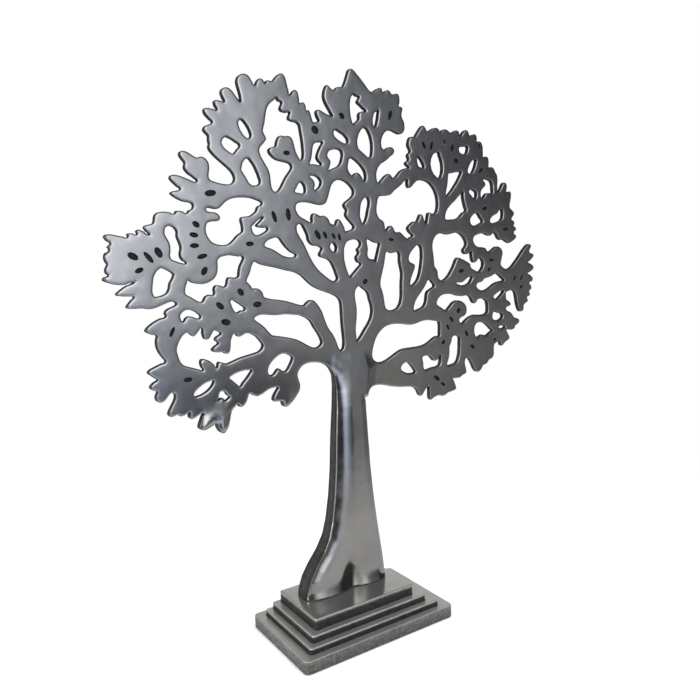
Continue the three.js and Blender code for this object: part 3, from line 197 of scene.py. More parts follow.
def inward_of(loop):
    """Unit normals that point into the metal, which lies on the left along every loop."""
    along = np.roll(loop, -1, 0) - np.roll(loop, 1, 0)
    along /= np.maximum(np.hypot(along[:, 0], along[:, 1]), 1e-9)[:, None]
    return np.stack([-along[:, 1], along[:, 0]], 1)


def tree_outline():
    """The outer loop, anticlockwise, and then the windows, clockwise."""
    loops = []
    for loop in cut_loops("tree_casting", CUT_DEPTH):
        in_bore = np.zeros(len(loop), bool)
        for x in BOLT_X:
            in_bore |= (np.abs(loop[:, 0] - x) < BORE_REACH) & (loop[:, 1] < BORE_TOP)
        loop = loop[~in_bore]
        if len(loop) > 5:
            loops.append(loop)
    loops.sort(key=lambda loop: -abs(area(loop)))
    loops = [refine(loop if (area(loop) > 0) == (i == 0) else loop[::-1], OUTLINE_STEP)
             for i, loop in enumerate(loops)]
    edge = Edge(loops)
    low, high = cad_box[0] / MM, cad_box[1] / MM
    out = []
    for loop in loops:
        _, share = trunk_share(loop[:, 0], loop[:, 1])
        growth = GROWTH * (1 + 0.5 * share)
        # a notch too narrow for that stays as it was cut
        free = edge.far(loop - inward_of(loop) * growth[:, None]) > 0.9 * growth
        free = free & np.roll(free, 1) & np.roll(free, -1)
        loop = loop - inward_of(loop) * (growth * free)[:, None]
        loop[:, 0] = np.clip(loop[:, 0], low[0] + 0.05, high[0] - 0.05)
        loop[:, 1] = np.clip(loop[:, 1], FOOT_BOTTOM, high[2] - 0.05)
        out.append(loop)
    return out


def pit_rims(windows):
    """Rims of the shallow pits: the loops just in front of their floors that aren't windows."""
    def is_window(loop):
        return any((np.abs(loop.mean(0) - window.mean(0)) < 1.2).all()
                   and abs(abs(area(loop)) - abs(area(window))) < 0.35 * abs(area(window))
                   for window in windows)
    return [refine(loop if area(loop) > 0 else loop[::-1], PIT_STEP)
            for loop in cut_loops("tree_casting", PIT_FLOOR - 0.4)
            if abs(area(loop)) < PIT_LARGEST and not is_window(loop)]


def inside(points, loops):
    """Which points lie inside an odd number of the loops."""
    odd = np.zeros(len(points), bool)
    for loop in loops:
        low, high = loop.min(0), loop.max(0)
        near = np.where((points[:, 0] <= high[0]) & (points[:, 1] >= low[1])
                        & (points[:, 1] <= high[1]))[0]
        if not len(near):
            continue
        a, b = loop, np.roll(loop, -1, 0)
        for part in np.array_split(near, max(1, len(near) * len(loop) // 4000000 + 1)):
            px, pz = points[part, 0][:, None], points[part, 1][:, None]
            crosses = (a[None, :, 1] > pz) != (b[None, :, 1] > pz)
            with np.errstate(divide="ignore", invalid="ignore"):
                at = a[None, :, 0] + (pz - a[None, :, 1]) * (b - a)[None, :, 0] / (b - a)[None, :, 1]
            odd[part] ^= ((crosses & (px < at)).sum(1) % 2).astype(bool)
    return odd


class Edge:
    """Distance from a point to the outline, whose foot line doesn't count."""

    PIECE = 0.7

    def __init__(self, loops):
        self.a, self.b = [], []
        for loop in loops:
            after = np.roll(loop, -1, 0)
            for p, q in zip(loop, after):
                if p[1] < FOOT_BOTTOM + 0.2 and q[1] < FOOT_BOTTOM + 0.2:
                    continue
                pieces = max(1, int(np.hypot(*(q - p)) / self.PIECE))
                for k in range(pieces):
                    self.a.append(p + (q - p) * k / pieces)
                    self.b.append(p + (q - p) * (k + 1) / pieces)
        self.a, self.b = np.array(self.a), np.array(self.b)
        middle = (self.a + self.b) / 2
        self.tree = kdtree.KDTree(len(middle))
        for i, m in enumerate(middle):
            self.tree.insert((m[0], m[1], 0), i)
        self.tree.balance()

    def far(self, points):
        out = np.empty(len(points))
        for k, p in enumerate(points):
            best = math.inf
            for _, i, _ in self.tree.find_n((p[0], p[1], 0), 3):
                a, d = self.a[i], self.b[i] - self.a[i]
                t = min(1.0, max(0.0, ((p[0] - a[0]) * d[0] + (p[1] - a[1]) * d[1])
                                 / max(d[0] * d[0] + d[1] * d[1], 1e-12)))
                best = min(best, math.hypot(p[0] - a[0] - t * d[0], p[1] - a[1] - t * d[1]))
            out[k] = best
        return out


class Sieve:
    """Keeps points apart, by up to one cell."""

    CELL = 1.5

    def __init__(self):
        self.cells = {}

    def room(self, p, least):
        i, j = int(p[0] // self.CELL), int(p[1] // self.CELL)
        for a in (i - 1, i, i + 1):
            for b in (j - 1, j, j + 1):
                for q in self.cells.get((a, b), ()):
                    if (q[0] - p[0]) ** 2 + (q[1] - p[1]) ** 2 < least * least:
                        return False
        return True

    def add(self, p):
        self.cells.setdefault((int(p[0] // self.CELL), int(p[1] // self.CELL)), []).append(p)


# ---------------------------------------------------------------- front and back of the tree
def smooth01(a, b, x):
    """0 at a, 1 at b and smooth between; a may be the larger."""
    t = np.clip((x - a) / (b - a), 0, 1)
    return t * t * (3 - 2 * t)


def section(z, column):
    return np.interp(z, TRUNK[:, 0], TRUNK[:, column])


def round_off(d, wide, deep):
    """How far a rounded edge lies behind the face, at distance d in from its rim."""
    t = np.clip(1 - d / wide, 0, 1)
    return deep * (1 - np.sqrt(np.maximum(0.0, 1 - t * t)))


def trunk_share(x, z):
    """(place across the trunk from 0 to 1, how much the point belongs to the trunk)."""
    left, right = section(z, 1) + SHIFT_X, section(z, 2) + SHIFT_X
    across = (x - left) / (right - left)
    beside = smooth01(0.55, 0.85, np.abs(across - 0.5))
    share = 1 - beside * np.where(x < TRUNK_SPAN[1], smooth01(158, 188, z), 1.0)
    share = share * (1 - smooth01(196, TRUNK_TOP, z))
    return across, share


def front_face(x, z, d):
    """Depth of the front at (x, z), which lies d in from the rim."""
    across, share = trunk_share(x, z)
    level, ridge = section(z, 3), section(z, 5)
    # a shallow hollow runs up between the two roots
    level = level + 3.6 * np.exp(-((x - SHIFT_X) / 7.5) ** 2) * smooth01(66, 28, z)
    # from the ridge on the left the face falls away, quickly and then slowly
    reach = np.interp(z, [28.7, 50, 100, 180, 216], [5.6, 5.2, 5.2, 4.2, 2.4])
    half = (section(z, 2) - section(z, 1)) / 2
    end = np.exp(-0.9 * half / reach)
    fall = np.clip((np.exp(-d / reach) - end) / (1 - end), 0, 1)
    trunk = level + np.where(across < 0.5, (ridge - level) * fall, 0)
    # on the right it turns back in a wide round
    turned = np.interp(z, [28.7, 60, 100, 180], [9.0, 8.0, 7.0, 6.0])
    sunk = np.interp(z, [28.7, 100, 180], [5.0, 3.6, 2.4])
    t = np.where(across > 0.5, np.clip(1 - d / turned, 0, 1), 0)
    trunk = trunk + sunk * (1 - np.sqrt(np.maximum(0, 1 - t * t)))
    trunk = np.minimum(trunk, PLATE_FRONT + 8 * smooth01(196, 172, z))
    face = PLATE_FRONT + (trunk - PLATE_FRONT) * share
    wide, deep = 0.95 - 0.15 * share, 0.7 - 0.1 * share
    return face + round_off(d, 5.0, 0.16) * (1 - share) + round_off(d, wide, deep)


def back_face(x, z, d):
    """Depth of the back at (x, z), which lies d in from the rim."""
    across, share = trunk_share(x, z)
    s = np.clip(across, 0, 1)
    trunk = section(z, 4) - 1.2 * s * s
    face = PLATE_BACK + (np.maximum(trunk, PLATE_BACK) - PLATE_BACK) * share
    wide, deep = 0.9 + share * (0.4 + 3.6 * s), 0.8 + share * (0.3 + 2.2 * s)
    return face - round_off(d, wide, deep)


def hex_grid(low, high, step, span, top):
    """Rows of points with every second row half a step along."""
    grid = []
    z, row = low[1] + 0.9, 0
    while z < top:
        xs = np.arange(low[0] + (row % 2) * step / 2, high[0], step)
        xs = xs[(xs > span[0]) & (xs < span[1])]
        grid.append(np.stack([xs, np.full(len(xs), z)], 1))
        z, row = z + step * 0.866, row + 1
    return np.concatenate(grid)


def scatter(loops, rims, edge):
    """The points of the mesh in X and Z, and the lines between them that it has to keep."""
    points, lines, sieve = [], [], Sieve()

    def add(p):
        points.append(p)
        sieve.add(p)

    def add_ring(ring):
        first = len(points)
        for k, p in enumerate(ring):
            add(p)
            lines.append((first + k, first + (k + 1) % len(ring)))

    for loop in loops:
        add_ring(loop)
    for rim in rims:
        middle = rim.mean(0)
        from_middle = np.maximum(np.hypot(*(rim - middle).T), 0.3)
        for reach in (0.0, 0.3, -0.32):
            ring = rim + (middle - rim) * np.minimum(0.5, reach / from_middle)[:, None]
            if reach >= 0 or (edge.far(ring) >= 0.5).all():
                add_ring(ring)

    for d, least in INSET_ROWS:
        tries = []
        for loop in loops:
            some = loop + inward_of(loop) * d
            keep = loop[:, 1] > FOOT_BOTTOM + 0.3
            tries.append(some[keep][:: 1 if d < 3 else 2])
        tries = np.concatenate(tries)
        far = edge.far(tries)
        for p in tries[(far > 0.93 * d) & inside(tries, loops)]:
            if p[1] > FOOT_BOTTOM + 0.6 and sieve.room(p, least):
                add(p)

    low = np.min([loop.min(0) for loop in loops], 0)
    high = np.max([loop.max(0) for loop in loops], 0)
    everywhere = (low[0] - 1, high[0] + 1)
    for step, span, top in ((FINE_GRID, TRUNK_SPAN, TRUNK_TOP), (COARSE_GRID, everywhere, high[1])):
        grid = hex_grid(low, high, step, span, top)
        grid = grid[inside(grid, loops)]
        for p in grid[edge.far(grid) > min(step, 2.4)]:
            if sieve.room(p, min(0.8 * step, Sieve.CELL)):
                add(p)
    return points, lines


def triangulate(points, lines, loops):
    """Points and anticlockwise triangles of the area inside the loops."""
    cells = geometry.delaunay_2d_cdt(
        [Vector((float(p[0]), float(p[1]))) for p in points], lines, [], 0, 1e-5, False)
    flat = np.array([(v.x, v.y) for v in cells[0]])
    faces = np.array([tuple(f) for f in cells[2] if len(f) == 3])
    faces = faces[inside(flat[faces].mean(1), loops)]
    used = np.unique(faces)
    renumber = -np.ones(len(flat), int)
    renumber[used] = np.arange(len(used))
    flat, faces = flat[used], renumber[faces]
    turn = np.cross(flat[faces[:, 1]] - flat[faces[:, 0]], flat[faces[:, 2]] - flat[faces[:, 0]])
    faces[turn < 0] = faces[turn < 0][:, ::-1]
    return flat, faces


def even_out(faces, ease, fields):
    """Move every value towards the mean of its neighbours, by ease, four times."""
    a = np.concatenate([faces[:, 0], faces[:, 1], faces[:, 2]])
    b = np.concatenate([faces[:, 1], faces[:, 2], faces[:, 0]])
    count = np.bincount(a, minlength=len(ease)) + np.bincount(b, minlength=len(ease))
    for _ in range(4):
        for field in fields:
            total = np.bincount(a, field[b], len(ease)) + np.bincount(b, field[a], len(ease))
            field += ease * (total / count - field)


def sink_pits(rims, flat, front, polish_and_painted_shade):
    """Press the pits into the front, dark and steep; their black floors and darker rims are partly
    unpolished metal and partly painted shade.
    """
    x, z = flat[:, 0], flat[:, 1]
    for rim in rims:
        low, high = rim.min(0) - 0.8, rim.max(0) + 0.8
        near = np.where((x > low[0]) & (x < high[0]) & (z > low[1]) & (z < high[1]))[0]
        within = inside(flat[near], [rim])
        side = np.roll(rim, -1, 0) - rim
        away = flat[near][:, None] - rim[None]
        t = np.clip((away * side[None]).sum(2) / np.maximum((side ** 2).sum(1), 1e-9)[None], 0, 1)
        gap = np.hypot(*(away[..., i] - t * side[None, :, i] for i in (0, 1))).min(1)
        deep = within & (gap > 0.15)
        floor = near[deep]
        front[floor] = PIT_FLOOR - 0.2 + 0.2 * np.sin(7 * x[floor] + 5 * z[floor])
        # painted shade: the pit floors go black and their rims darker, as well as being unpolished
        polish_and_painted_shade[floor] = 0
        polish_and_painted_shade[near[~deep & (gap < 0.12)]] = 0.4


def build_tree():
    loops = tree_outline()
    rims = pit_rims(loops)
    edge = Edge(loops)
    flat, faces = triangulate(*scatter(loops, rims, edge), loops)
    x, z = flat[:, 0], flat[:, 1]
    n = len(flat)
    d = edge.far(flat)
    front, back = front_face(x, z, d), back_face(x, z, d)
    ease = smooth01(0.9, 2.2, d) * 0.5 * (1 - np.clip(3 * trunk_share(x, z)[1], 0, 1))
    even_out(faces, ease, (front, back))

    # darker towards the rim: partly metal the wheel missed, partly painted shade that runs into the
    # dark walls
    rubbed_and_rim_shade = smooth01(0.1, 0.75, d)
    # the lowest 0.9 mm of the tree is dark: painted shade in the joint where it sits on the base
    polish_and_painted_shade = rubbed_and_rim_shade * (0.25 + 0.75 * smooth01(FOOT_BOTTOM, FOOT_BOTTOM + 0.9, z))
    sink_pits(rims, flat, front, polish_and_painted_shade)

    # the walls stand on every edge that only one triangle uses
    walls = {}
    for f in faces:
        for k in range(3):
            a, b = f[k], f[(k + 1) % 3]
            if (b, a) in walls:
                del walls[(b, a)]
            else:
                walls[(a, b)] = True
    verts = [(x[i], front[i], z[i]) for i in range(n)] + [(x[i], back[i], z[i]) for i in range(n)]
    shine_and_painted_shade = list(polish_and_painted_shade) + list(rubbed_and_rim_shade * 0.55)
    rows = {}
    for i in sorted(set(i for wall in walls for i in wall)):
        rows[i] = [i]
        for k in range(1, WALL_ROWS + 1):
            t = k / (WALL_ROWS + 1)
            verts.append((x[i], front[i] + (back[i] - front[i]) * t, z[i]))
            # the walls are coloured dark, black above 205 mm: partly unpolished casting, partly
            # painted shade
            shine_and_painted_shade.append(0.0 if z[i] > 205 else 0.28)
            rows[i].append(len(verts) - 1)
        rows[i].append(n + i)
    # (x, z) triangles run anticlockwise, which faces -Y
    solid = [tuple(f) for f in faces] + [(n + f[2], n + f[1], n + f[0]) for f in faces]
    for i, j in walls:
        for k in range(WALL_ROWS + 1):
            solid.append((rows[j][k], rows[i][k], rows[i][k + 1], rows[j][k + 1]))
    return verts, solid, shine_and_painted_shade


# ---------------------------------------------------------------- the stepped base
def rectangle_ring(step, margin, z, radius=None):
    """A rounded rectangle that lies margin inside one step's outline."""
    left, right, front, back = STEP_INSETS[step]
    x0, x1 = -BASE_LENGTH / 2 + left + margin, BASE_LENGTH / 2 - right - margin
    y0, y1 = -BASE_WIDTH / 2 + front + margin, BASE_WIDTH / 2 - back - margin
    r = max(STEP_CORNERS[step] - margin, 0.5) if radius is None else radius
    ring = []
    for cx, cy, start in ((x1 - r, y0 + r, -90), (x1 - r, y1 - r, 0),
                          (x0 + r, y1 - r, 90), (x0 + r, y0 + r, 180)):
        for k in range(CORNER_PARTS + 1):
            a = math.radians(start + 90 * k / CORNER_PARTS)
            ring.append((cx + r * math.cos(a) + SHIFT_X, cy + r * math.sin(a), z))
    return ring


def quarter(parts):
    """(sine, cosine) from 0 to 90 degrees."""
    angles = [math.radians(90 * k / parts) for k in range(parts + 1)]
    return [(math.sin(a), math.cos(a)) for a in angles]


def base_rings():
    """(ring, polish) from the middle of the underside, round the outside and up to the top. Low
    values also paint shade on the risers.
    """
    rings = []
    for i, top in enumerate(STEP_TOPS):
        if i == 0:
            # the lowest step's sides stay darker: partly dirt, partly painted shade
            for s, c in quarter(3):
                rings.append((rectangle_ring(0, LOWER_ROUND * (1 - s),
                                             RIM_LIFT + LOWER_ROUND * (1 - c)), 0.2 + 0.1 * s))
            rings.append((rectangle_ring(0, 0, (RIM_LIFT + top) / 2), 0.32))
        else:
            # a dark fillet stands between the tread below and this riser, as painted shade in the
            # crease; the riser stays dark too, partly black patina and partly a painted reflection of
            # the dark tread below
            floor = STEP_TOPS[i - 1]
            for margin, z, polish_and_painted_shade in ((-1.5, floor, 0.9), (-0.55, floor, 0.5),
                                      (-0.16, floor + 0.16, 0.02), (0, floor + 0.55, 0.05),
                                      (0, floor + (top - floor) * 0.6, 0.16)):
                rings.append((rectangle_ring(i, margin, z), polish_and_painted_shade))
        for s, c in quarter(4):
            rings.append((rectangle_ring(i, TREAD_ROUND * (1 - c), top - TREAD_ROUND * (1 - s)),
                          0.55 + 0.45 * s if i else 0.36 + 0.6 * s))
        if i + 1 < len(STEP_TOPS):
            rings.append((rectangle_ring(i, 1.6, top), 0.95))
        else:
            for margin in (2.5, 6.0, 12.0, 19.0):
                rings.append((rectangle_ring(i, margin, top, 1.0), 0.95))
    ceiling = STEP_TOPS[0] - BASE_WALL + 1
    under = [(rectangle_ring(0, FELT_MARGIN - 0.4, RIM_LIFT), 0.3),
             (rectangle_ring(0, FELT_MARGIN, RIM_LIFT + 0.3), 0.1),
             (rectangle_ring(0, FELT_MARGIN, FELT_RECESS), 0.0),
             (rectangle_ring(0, BASE_WALL, FELT_RECESS), 0.0),
             (rectangle_ring(0, BASE_WALL, ceiling), 0.0)]
    for i in range(1, len(STEP_TOPS)):
        under.append((rectangle_ring(i, BASE_WALL, ceiling, 1.2), 0.0))
        ceiling = STEP_TOPS[i] - BASE_WALL
        under.append((rectangle_ring(i, BASE_WALL, ceiling, 1.2), 0.0))
    return under[::-1] + rings


def build_base():
    verts, faces, shine_and_painted_shade = [], [], []
    rings = base_rings()
    n = len(rings[0][0])
    for ring, polish_and_painted_shade in rings:
        verts += ring
        shine_and_painted_shade += [polish_and_painted_shade] * n
    for r in range(len(rings) - 1):
        for k in range(n):
            a, b = r * n + k, r * n + (k + 1) % n
            faces.append((a, b, b + n, a + n))
    faces.append(tuple(range(n))[::-1])
    faces.append(tuple(range((len(rings) - 1) * n, len(rings) * n)))
    return verts, faces, shine_and_painted_shade


def make_object(name, verts, faces, shine_and_painted_shade, material):
    """A smooth object from points in millimetres; shine becomes its point attribute "polish", which
    also carries painted shade.
    """
    mesh = bpy.data.meshes.new(name)
    mesh.from_pydata([Vector(v) * MM for v in verts], [], [tuple(int(i) for i in f) for f in faces])
    mesh.validate()
    mesh.update()
    for poly in mesh.polygons:
        poly.use_smooth = True
    mesh.set_sharp_from_angle(angle=math.radians(48))
    layer = mesh.attributes.new("polish_and_painted_shade", "FLOAT", "POINT")
    layer.data.foreach_set("value", np.array(shine_and_painted_shade, dtype=np.float32))
    obj = bpy.data.objects.new(name, mesh)
    bpy.context.scene.collection.objects.link(obj)
    mesh.materials.append(material)
    return obj


# ---------------------------------------------------------------- materials
class Graph:
    """Makes and joins the nodes of one material or world."""

    def __init__(self, owner, output):
        owner.use_nodes = True
        self.nodes, self.links = owner.node_tree.nodes, owner.node_tree.links
        self.nodes.clear()
        self.end = self.add(output).inputs[0]

    def add(self, kind, **settings):
        node = self.nodes.new("ShaderNode" + kind)
        for name, value in settings.items():
            setattr(node, name, value)
        return node

    def put(self, socket, value):
        """Link an output to the socket, or set a number or colour there."""
        if isinstance(value, bpy.types.NodeSocket):
            self.links.new(value, socket)
        else:
            socket.default_value = (*value, 1) if isinstance(value, tuple) else value

    def calc(self, operation, a, b, clamp=False):
        node = self.add("Math", operation=operation, use_clamp=clamp)
        self.put(node.inputs[0], a)
        self.put(node.inputs[1], b)
        return node.outputs[0]

    def noise(self, coords, scale, detail, rough):
        node = self.add("TexNoise")
        for name, value in (("Vector", coords), ("Scale", scale), ("Detail", detail),
                            ("Roughness", rough)):
            self.put(node.inputs[name], value)
        return node.outputs["Fac"]

    def stretch(self, value, span, to, smooth=False):
        """The value's span mapped to another, and clamped."""
        node = self.add("MapRange")
        if smooth:
            node.interpolation_type = "SMOOTHSTEP"
        for name, end in zip(("From Min", "From Max", "To Min", "To Max"), (*span, *to)):
            node.inputs[name].default_value = end
        self.put(node.inputs["Value"], value)
        return node.outputs[0]

    def ramp(self, value, stops):
        node = self.add("ValToRGB")
        elements = node.color_ramp.elements
        while len(elements) < len(stops):
            elements.new(0.5)
        for element, (at, color) in zip(elements, stops):
            element.position = at
            element.color = (*color, 1)
        self.put(node.inputs[0], value)
        return node.outputs[0]

    def mix(self, fac, a, b, blend="MIX"):
        """Mixed colours."""
        node = self.add("Mix", data_type="RGBA", blend_type=blend)
        self.put(node.inputs["Factor"], fac)
        for name, value in (("A", a), ("B", b)):
            self.put([s for s in node.inputs if s.name == name and s.type == "RGBA"][0], value)
        return [s for s in node.outputs if s.type == "RGBA"][0]

    def mix_value(self, fac, a, b):
        """Mixed numbers."""
        node = self.add("Mix", data_type="FLOAT")
        self.put(node.inputs["Factor"], fac)
        self.put(node.inputs[2], a)
        self.put(node.inputs[3], b)
        return node.outputs[0]

    def mix_shader(self, fac, a, b):
        node = self.add("MixShader")
        for socket, value in zip(node.inputs, (fac, a, b)):
            self.put(socket, value)
        return node.outputs[0]

    def bump(self, height, strength, distance, normal=None):
        node = self.add("Bump")
        self.put(node.inputs["Height"], height)
        self.put(node.inputs["Strength"], strength)
        self.put(node.inputs["Distance"], distance)
        if normal is not None:
            self.put(node.inputs["Normal"], normal)
        return node.outputs[0]


def new_material(name):
    """(material, its graph, its shader, place on the object in metres)"""
    material = bpy.data.materials.new(name)
    g = Graph(material, "OutputMaterial")
    shader = g.add("BsdfPrincipled")
    g.put(g.end, shader.outputs[0])
    return material, g, shader.inputs, g.add("TexCoord").outputs["Object"]


def cast_metal(name, light, dark, heights, gloss, metal, foot, grain):
    """Polished cast aluminium that stays dark and rough where the wheel didn't reach; the same dark
    oxide also paints shade.

    gloss and metal are roughness and metallic at the two heights, and foot tints the bottom as a
    painted darker reflection.
    """
    material, g, shader, coords = new_material(name)
    z = g.add("SeparateXYZ")
    g.put(z.inputs[0], coords)
    z = z.outputs["Z"]

    # how far the wheel cleaned each spot, and where shade is painted dark, from the mesh's polish and
    # some blots
    blot = g.stretch(g.noise(coords, 420, 4, 0.6), (0, 1), (-0.16, 0.16))
    polish_and_painted_shade = g.add("Attribute", attribute_name="polish_and_painted_shade").outputs["Fac"]
    clean_and_unshaded = g.stretch(g.calc("ADD", polish_and_painted_shade, blot, clamp=True), (0.18, 0.72), (0, 1), smooth=True)

    # colour: cloudy and specked metal, or nearly black oxide, which also serves as painted shade
    tone = g.ramp(g.noise(coords, 28, 4, 0.6), [(0.3, dark), (0.7, light)])
    speck = g.ramp(g.noise(coords, 700, 3, 0.6), [(0.25, (0.45, 0.45, 0.45)), (0.36, (1, 1, 1))])
    tone = g.mix(0.35, tone, speck, "MULTIPLY")
    # painted reflection: with a foot colour below white, the metal darkens and warms from 200 mm
    # down, fully below 90 mm
    tone = g.mix(1.0, tone, g.ramp(z, [(0.09, foot), (0.2, (1, 1, 1))]), "MULTIPLY")
    oxide_and_painted_shade = g.ramp(g.noise(coords, 240, 4, 0.6),
                   [(0.3, (0.005, 0.005, 0.005)), (0.75, (0.032, 0.028, 0.024))])
    g.put(shader["Base Color"], g.mix(clean_and_unshaded, oxide_and_painted_shade, tone))
    g.put(shader["Metallic"], g.mix_value(clean_and_unshaded, 0.45, g.stretch(z, heights, metal)))

    smear = g.stretch(g.noise(coords, 60, 5, 0.65), (0, 1), (-0.05, 0.07))
    rough = g.calc("ADD", g.stretch(z, heights, gloss, smooth=True), smear)
    g.put(shader["Roughness"], g.mix_value(clean_and_unshaded, 0.62, rough))

    # waves from the wheel, fine grain, and the sand's grain where it wasn't cleaned
    wave = g.bump(g.noise(coords, 45, 2, 0.5), 0.5, 0.0006)
    fine = g.bump(g.noise(coords, 1500, 4, 0.7), grain, 0.00006, wave)
    dirty = g.calc("SUBTRACT", 1.0, clean_and_unshaded)
    g.put(shader["Normal"], g.bump(g.noise(coords, 900, 4, 0.7), dirty, 0.0004, fine))
    return material


def steel_material():
    material, g, shader, coords = new_material("zinc_plated_steel")
    g.put(shader["Base Color"], g.ramp(g.noise(coords, 500, 4, 0.6),
                                       [(0.3, (0.42, 0.43, 0.44)), (0.7, (0.66, 0.67, 0.68))]))
    g.put(shader["Metallic"], 1.0)
    g.put(shader["Roughness"], g.stretch(g.noise(coords, 900, 3, 0.6), (0, 1), (0.25, 0.45)))
    return material


def felt_material():
    material, g, shader, coords = new_material("black_felt")
    g.put(shader["Base Color"], g.ramp(g.noise(coords, 1300, 6, 0.75),
                                       [(0.3, (0.008, 0.008, 0.009)), (0.75, (0.045, 0.045, 0.048))]))
    g.put(shader["Roughness"], 1.0)
    g.put(shader["Sheen Weight"], 0.5)
    g.put(shader["Normal"], g.bump(g.noise(coords, 1100, 6, 0.8), 0.8, 0.0005))
    return material


tree_metal = cast_metal(
    "tree_metal", light=(0.27, 0.272, 0.275), dark=(0.21, 0.212, 0.215), heights=(0.17, 0.24),
    gloss=(0.11, 0.24), metal=(1.0, 1.0), foot=(0.76, 0.74, 0.70), grain=0.2)
base_metal = cast_metal(
    "base_metal", light=(0.46, 0.455, 0.44), dark=(0.34, 0.335, 0.32), heights=(0.021, 0.028),
    gloss=(0.3, 0.13), metal=(0.8, 0.88), foot=(1, 1, 1), grain=0.4)
steel = steel_material()
felt = felt_material()

# ---------------------------------------------------------------- the pieces
tree = make_object("tree_skin", *build_tree(), tree_metal)
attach(tree, "root")
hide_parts("tree_casting")

base = make_object("base_skin", *build_base(), base_metal)
base.modifiers.new("normals", "WEIGHTED_NORMAL").keep_sharp = True
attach(base, "root")
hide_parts("stepped_base")

# the CAD nodes that stay: screws, washers and felt
for name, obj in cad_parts.items():
    if name in ("tree_casting", "stepped_base"):
        continue
    obj.data.materials.clear()
    obj.data.materials.append(felt if name == "base_felt" else steel)
    weld = obj.modifiers.new("weld", "WELD")
    weld.merge_threshold = 1e-6
    bevel = obj.modifiers.new("bevel", "BEVEL")
    bevel.width = 0.0003 if name == "base_felt" else 0.0002
    bevel.segments = 2
    bevel.limit_method = "ANGLE"
    bevel.angle_limit = math.radians(40)

# ---------------------------------------------------------------- floor, which fades out
floor_mesh = bpy.data.meshes.new("floor")
bm = bmesh.new()
bmesh.ops.create_circle(bm, cap_ends=True, radius=1.6, segments=96)
bm.to_mesh(floor_mesh)
bm.free()
floor = bpy.data.objects.new("floor", floor_mesh)
bpy.context.scene.collection.objects.link(floor)
pale, g, shader, coords = new_material("pale_floor")
g.put(shader["Base Color"], (0.86, 0.86, 0.86))
g.put(shader["Roughness"], 0.9)
paint = g.end.links[0].from_socket
length = g.add("VectorMath", operation="LENGTH")
g.put(length.inputs[0], coords)
fade = g.stretch(length.outputs["Value"], (0.12, 0.6), (0, 1), smooth=True)
g.put(g.end, g.mix_shader(fade, paint, g.add("BsdfTransparent").outputs[0]))
floor_mesh.materials.append(pale)

# ---------------------------------------------------------------- room and lamps
world = bpy.data.worlds.new("studio")
bpy.context.scene.world = world
g = Graph(world, "OutputWorld")
where = g.add("SeparateXYZ")
g.put(where.inputs[0], g.add("TexCoord").outputs["Generated"])
turn = g.calc("ARCTAN2", where.outputs["X"], g.calc("MULTIPLY", where.outputs["Y"], -1))
around = g.stretch(turn, (-math.pi, math.pi), (0, 1))


def azimuth(stops):
    """Colours round the room: 0 degrees is straight ahead of the front, and right is positive."""
    return g.ramp(around, [(0.5 + degrees / 360, color) for degrees, *color in stops])


# what the metal mirrors from above the horizon, and from below it
high = azimuth([
    (-180, 0.12, 0.12, 0.12),
    (-150, 0.07, 0.065, 0.06),
    (-115, 0.20, 0.20, 0.20),
    (-95, 0.70, 0.70, 0.70),
    (-62, 0.70, 0.70, 0.71),
    (-47, 0.10, 0.10, 0.11),
    (-22, 0.10, 0.105, 0.12),
    (-8, 0.75, 0.77, 0.80),
    (5, 1.20, 1.21, 1.24),
    (12, 1.00, 1.02, 1.06),
    (20, 0.53, 0.55, 0.59),
    (26, 0.29, 0.305, 0.33),
    (32, 0.11, 0.116, 0.128),
    (38, 0.04, 0.042, 0.048),
    (48, 0.018, 0.018, 0.02),
    (70, 0.03, 0.03, 0.03),
    (110, 0.05, 0.05, 0.05),
    (145, 0.23, 0.23, 0.225),
    (180, 0.14, 0.14, 0.14),
])
low = azimuth([
    (-180, 0.10, 0.10, 0.10),
    (-150, 0.055, 0.05, 0.042),
    (-115, 0.10, 0.09, 0.08),
    (-95, 0.45, 0.45, 0.45),
    (-66, 0.40, 0.40, 0.40),
    (-56, 0.03, 0.03, 0.035),
    (-16, 0.022, 0.025, 0.032),
    (-9, 0.20, 0.24, 0.30),
    (0, 0.34, 0.39, 0.47),
    (8, 0.30, 0.34, 0.41),
    (15, 0.14, 0.155, 0.18),
    (22, 0.05, 0.052, 0.058),
    (28, 0.06, 0.06, 0.06),
    (34, 0.17, 0.166, 0.16),
    (44, 0.09, 0.088, 0.085),
    (70, 0.10, 0.096, 0.097),
    (100, 0.06, 0.06, 0.06),
    (145, 0.12, 0.12, 0.12),
    (180, 0.10, 0.10, 0.10),
])
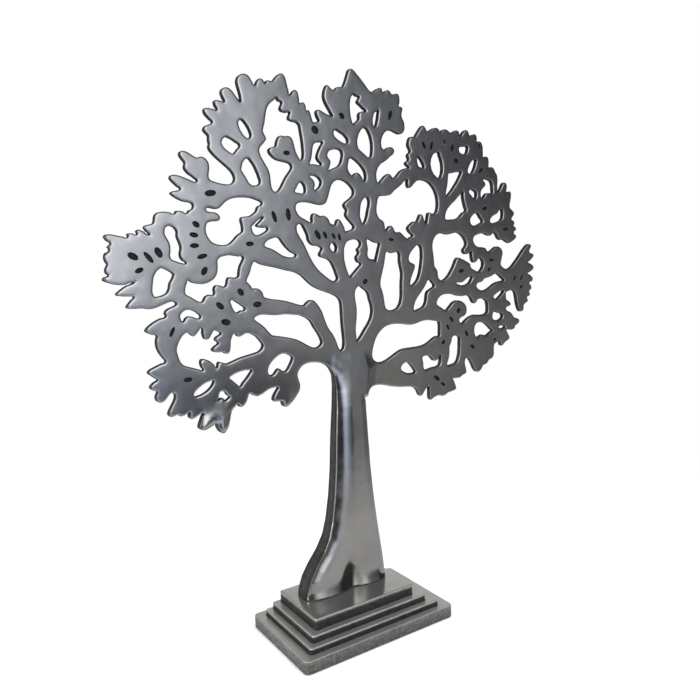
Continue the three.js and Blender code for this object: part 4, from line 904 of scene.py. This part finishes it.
ring = g.mix(g.stretch(where.outputs["Z"], (-0.15, 0.1), (0, 1), smooth=True), low, high)
overhead = g.ramp(where.outputs["Z"], [(0.35, (0, 0, 0)), (0.75, (1, 1, 1))])
room = g.add("Background")
g.put(room.inputs["Color"], g.mix(overhead, ring, (0.07, 0.07, 0.072)))
g.put(room.inputs["Strength"], 4.0)
# the camera itself sees plain white
plain = g.add("Background")
g.put(plain.inputs["Color"], (1, 1, 1))
g.put(plain.inputs["Strength"], 1.0)
by_camera = g.add("LightPath").outputs["Is Camera Ray"]
g.put(g.end, g.mix_shader(by_camera, room.outputs[0], plain.outputs[0]))


def softbox(name, place, aim, size, power, glossy):
    lamp = bpy.data.lights.new(name, "AREA")
    lamp.shape = "RECTANGLE"
    lamp.size, lamp.size_y = size
    lamp.energy = power
    obj = bpy.data.objects.new(name, lamp)
    bpy.context.scene.collection.objects.link(obj)
    obj.location = place
    obj.rotation_euler = (Vector(aim) - Vector(place)).to_track_quat("-Z", "Y").to_euler()
    obj.visible_glossy = glossy


softbox("left_box", (-1.5, -0.35, 0.55), (0, 0, 0.25), (0.5, 1.0), 12, True)
softbox("top_box", (0.1, -0.2, 1.8), (0, 0, 0.2), (1.8, 1.8), 44, False)

# ---------------------------------------------------------------- camera
CAMERA_PLACE = (-270.02, -425.10, 281.73)  # from the middle of the base's underside
CAMERA_RIGHT = Vector((0.83484, -0.54911, -0.03892))
CAMERA_FORWARD = Vector((0.53955, 0.83023, -0.14000))

camera = bpy.data.cameras.new("camera")
camera.lens, camera.sensor_width = 36.0, 36.0
camera.clip_start = 0.01
view = bpy.data.objects.new("camera", camera)
bpy.context.scene.collection.objects.link(view)
forward = CAMERA_FORWARD.normalized()
up = CAMERA_RIGHT.cross(forward).normalized()
right = forward.cross(up).normalized()
turned = Matrix((right, up, -forward)).transposed().to_4x4()
x, y, z = CAMERA_PLACE
turned.translation = Vector((x + SHIFT_X, y, z)) * MM
view.matrix_world = turned
bpy.context.scene.camera = view
bpy.context.scene.view_settings.view_transform = "Standard"
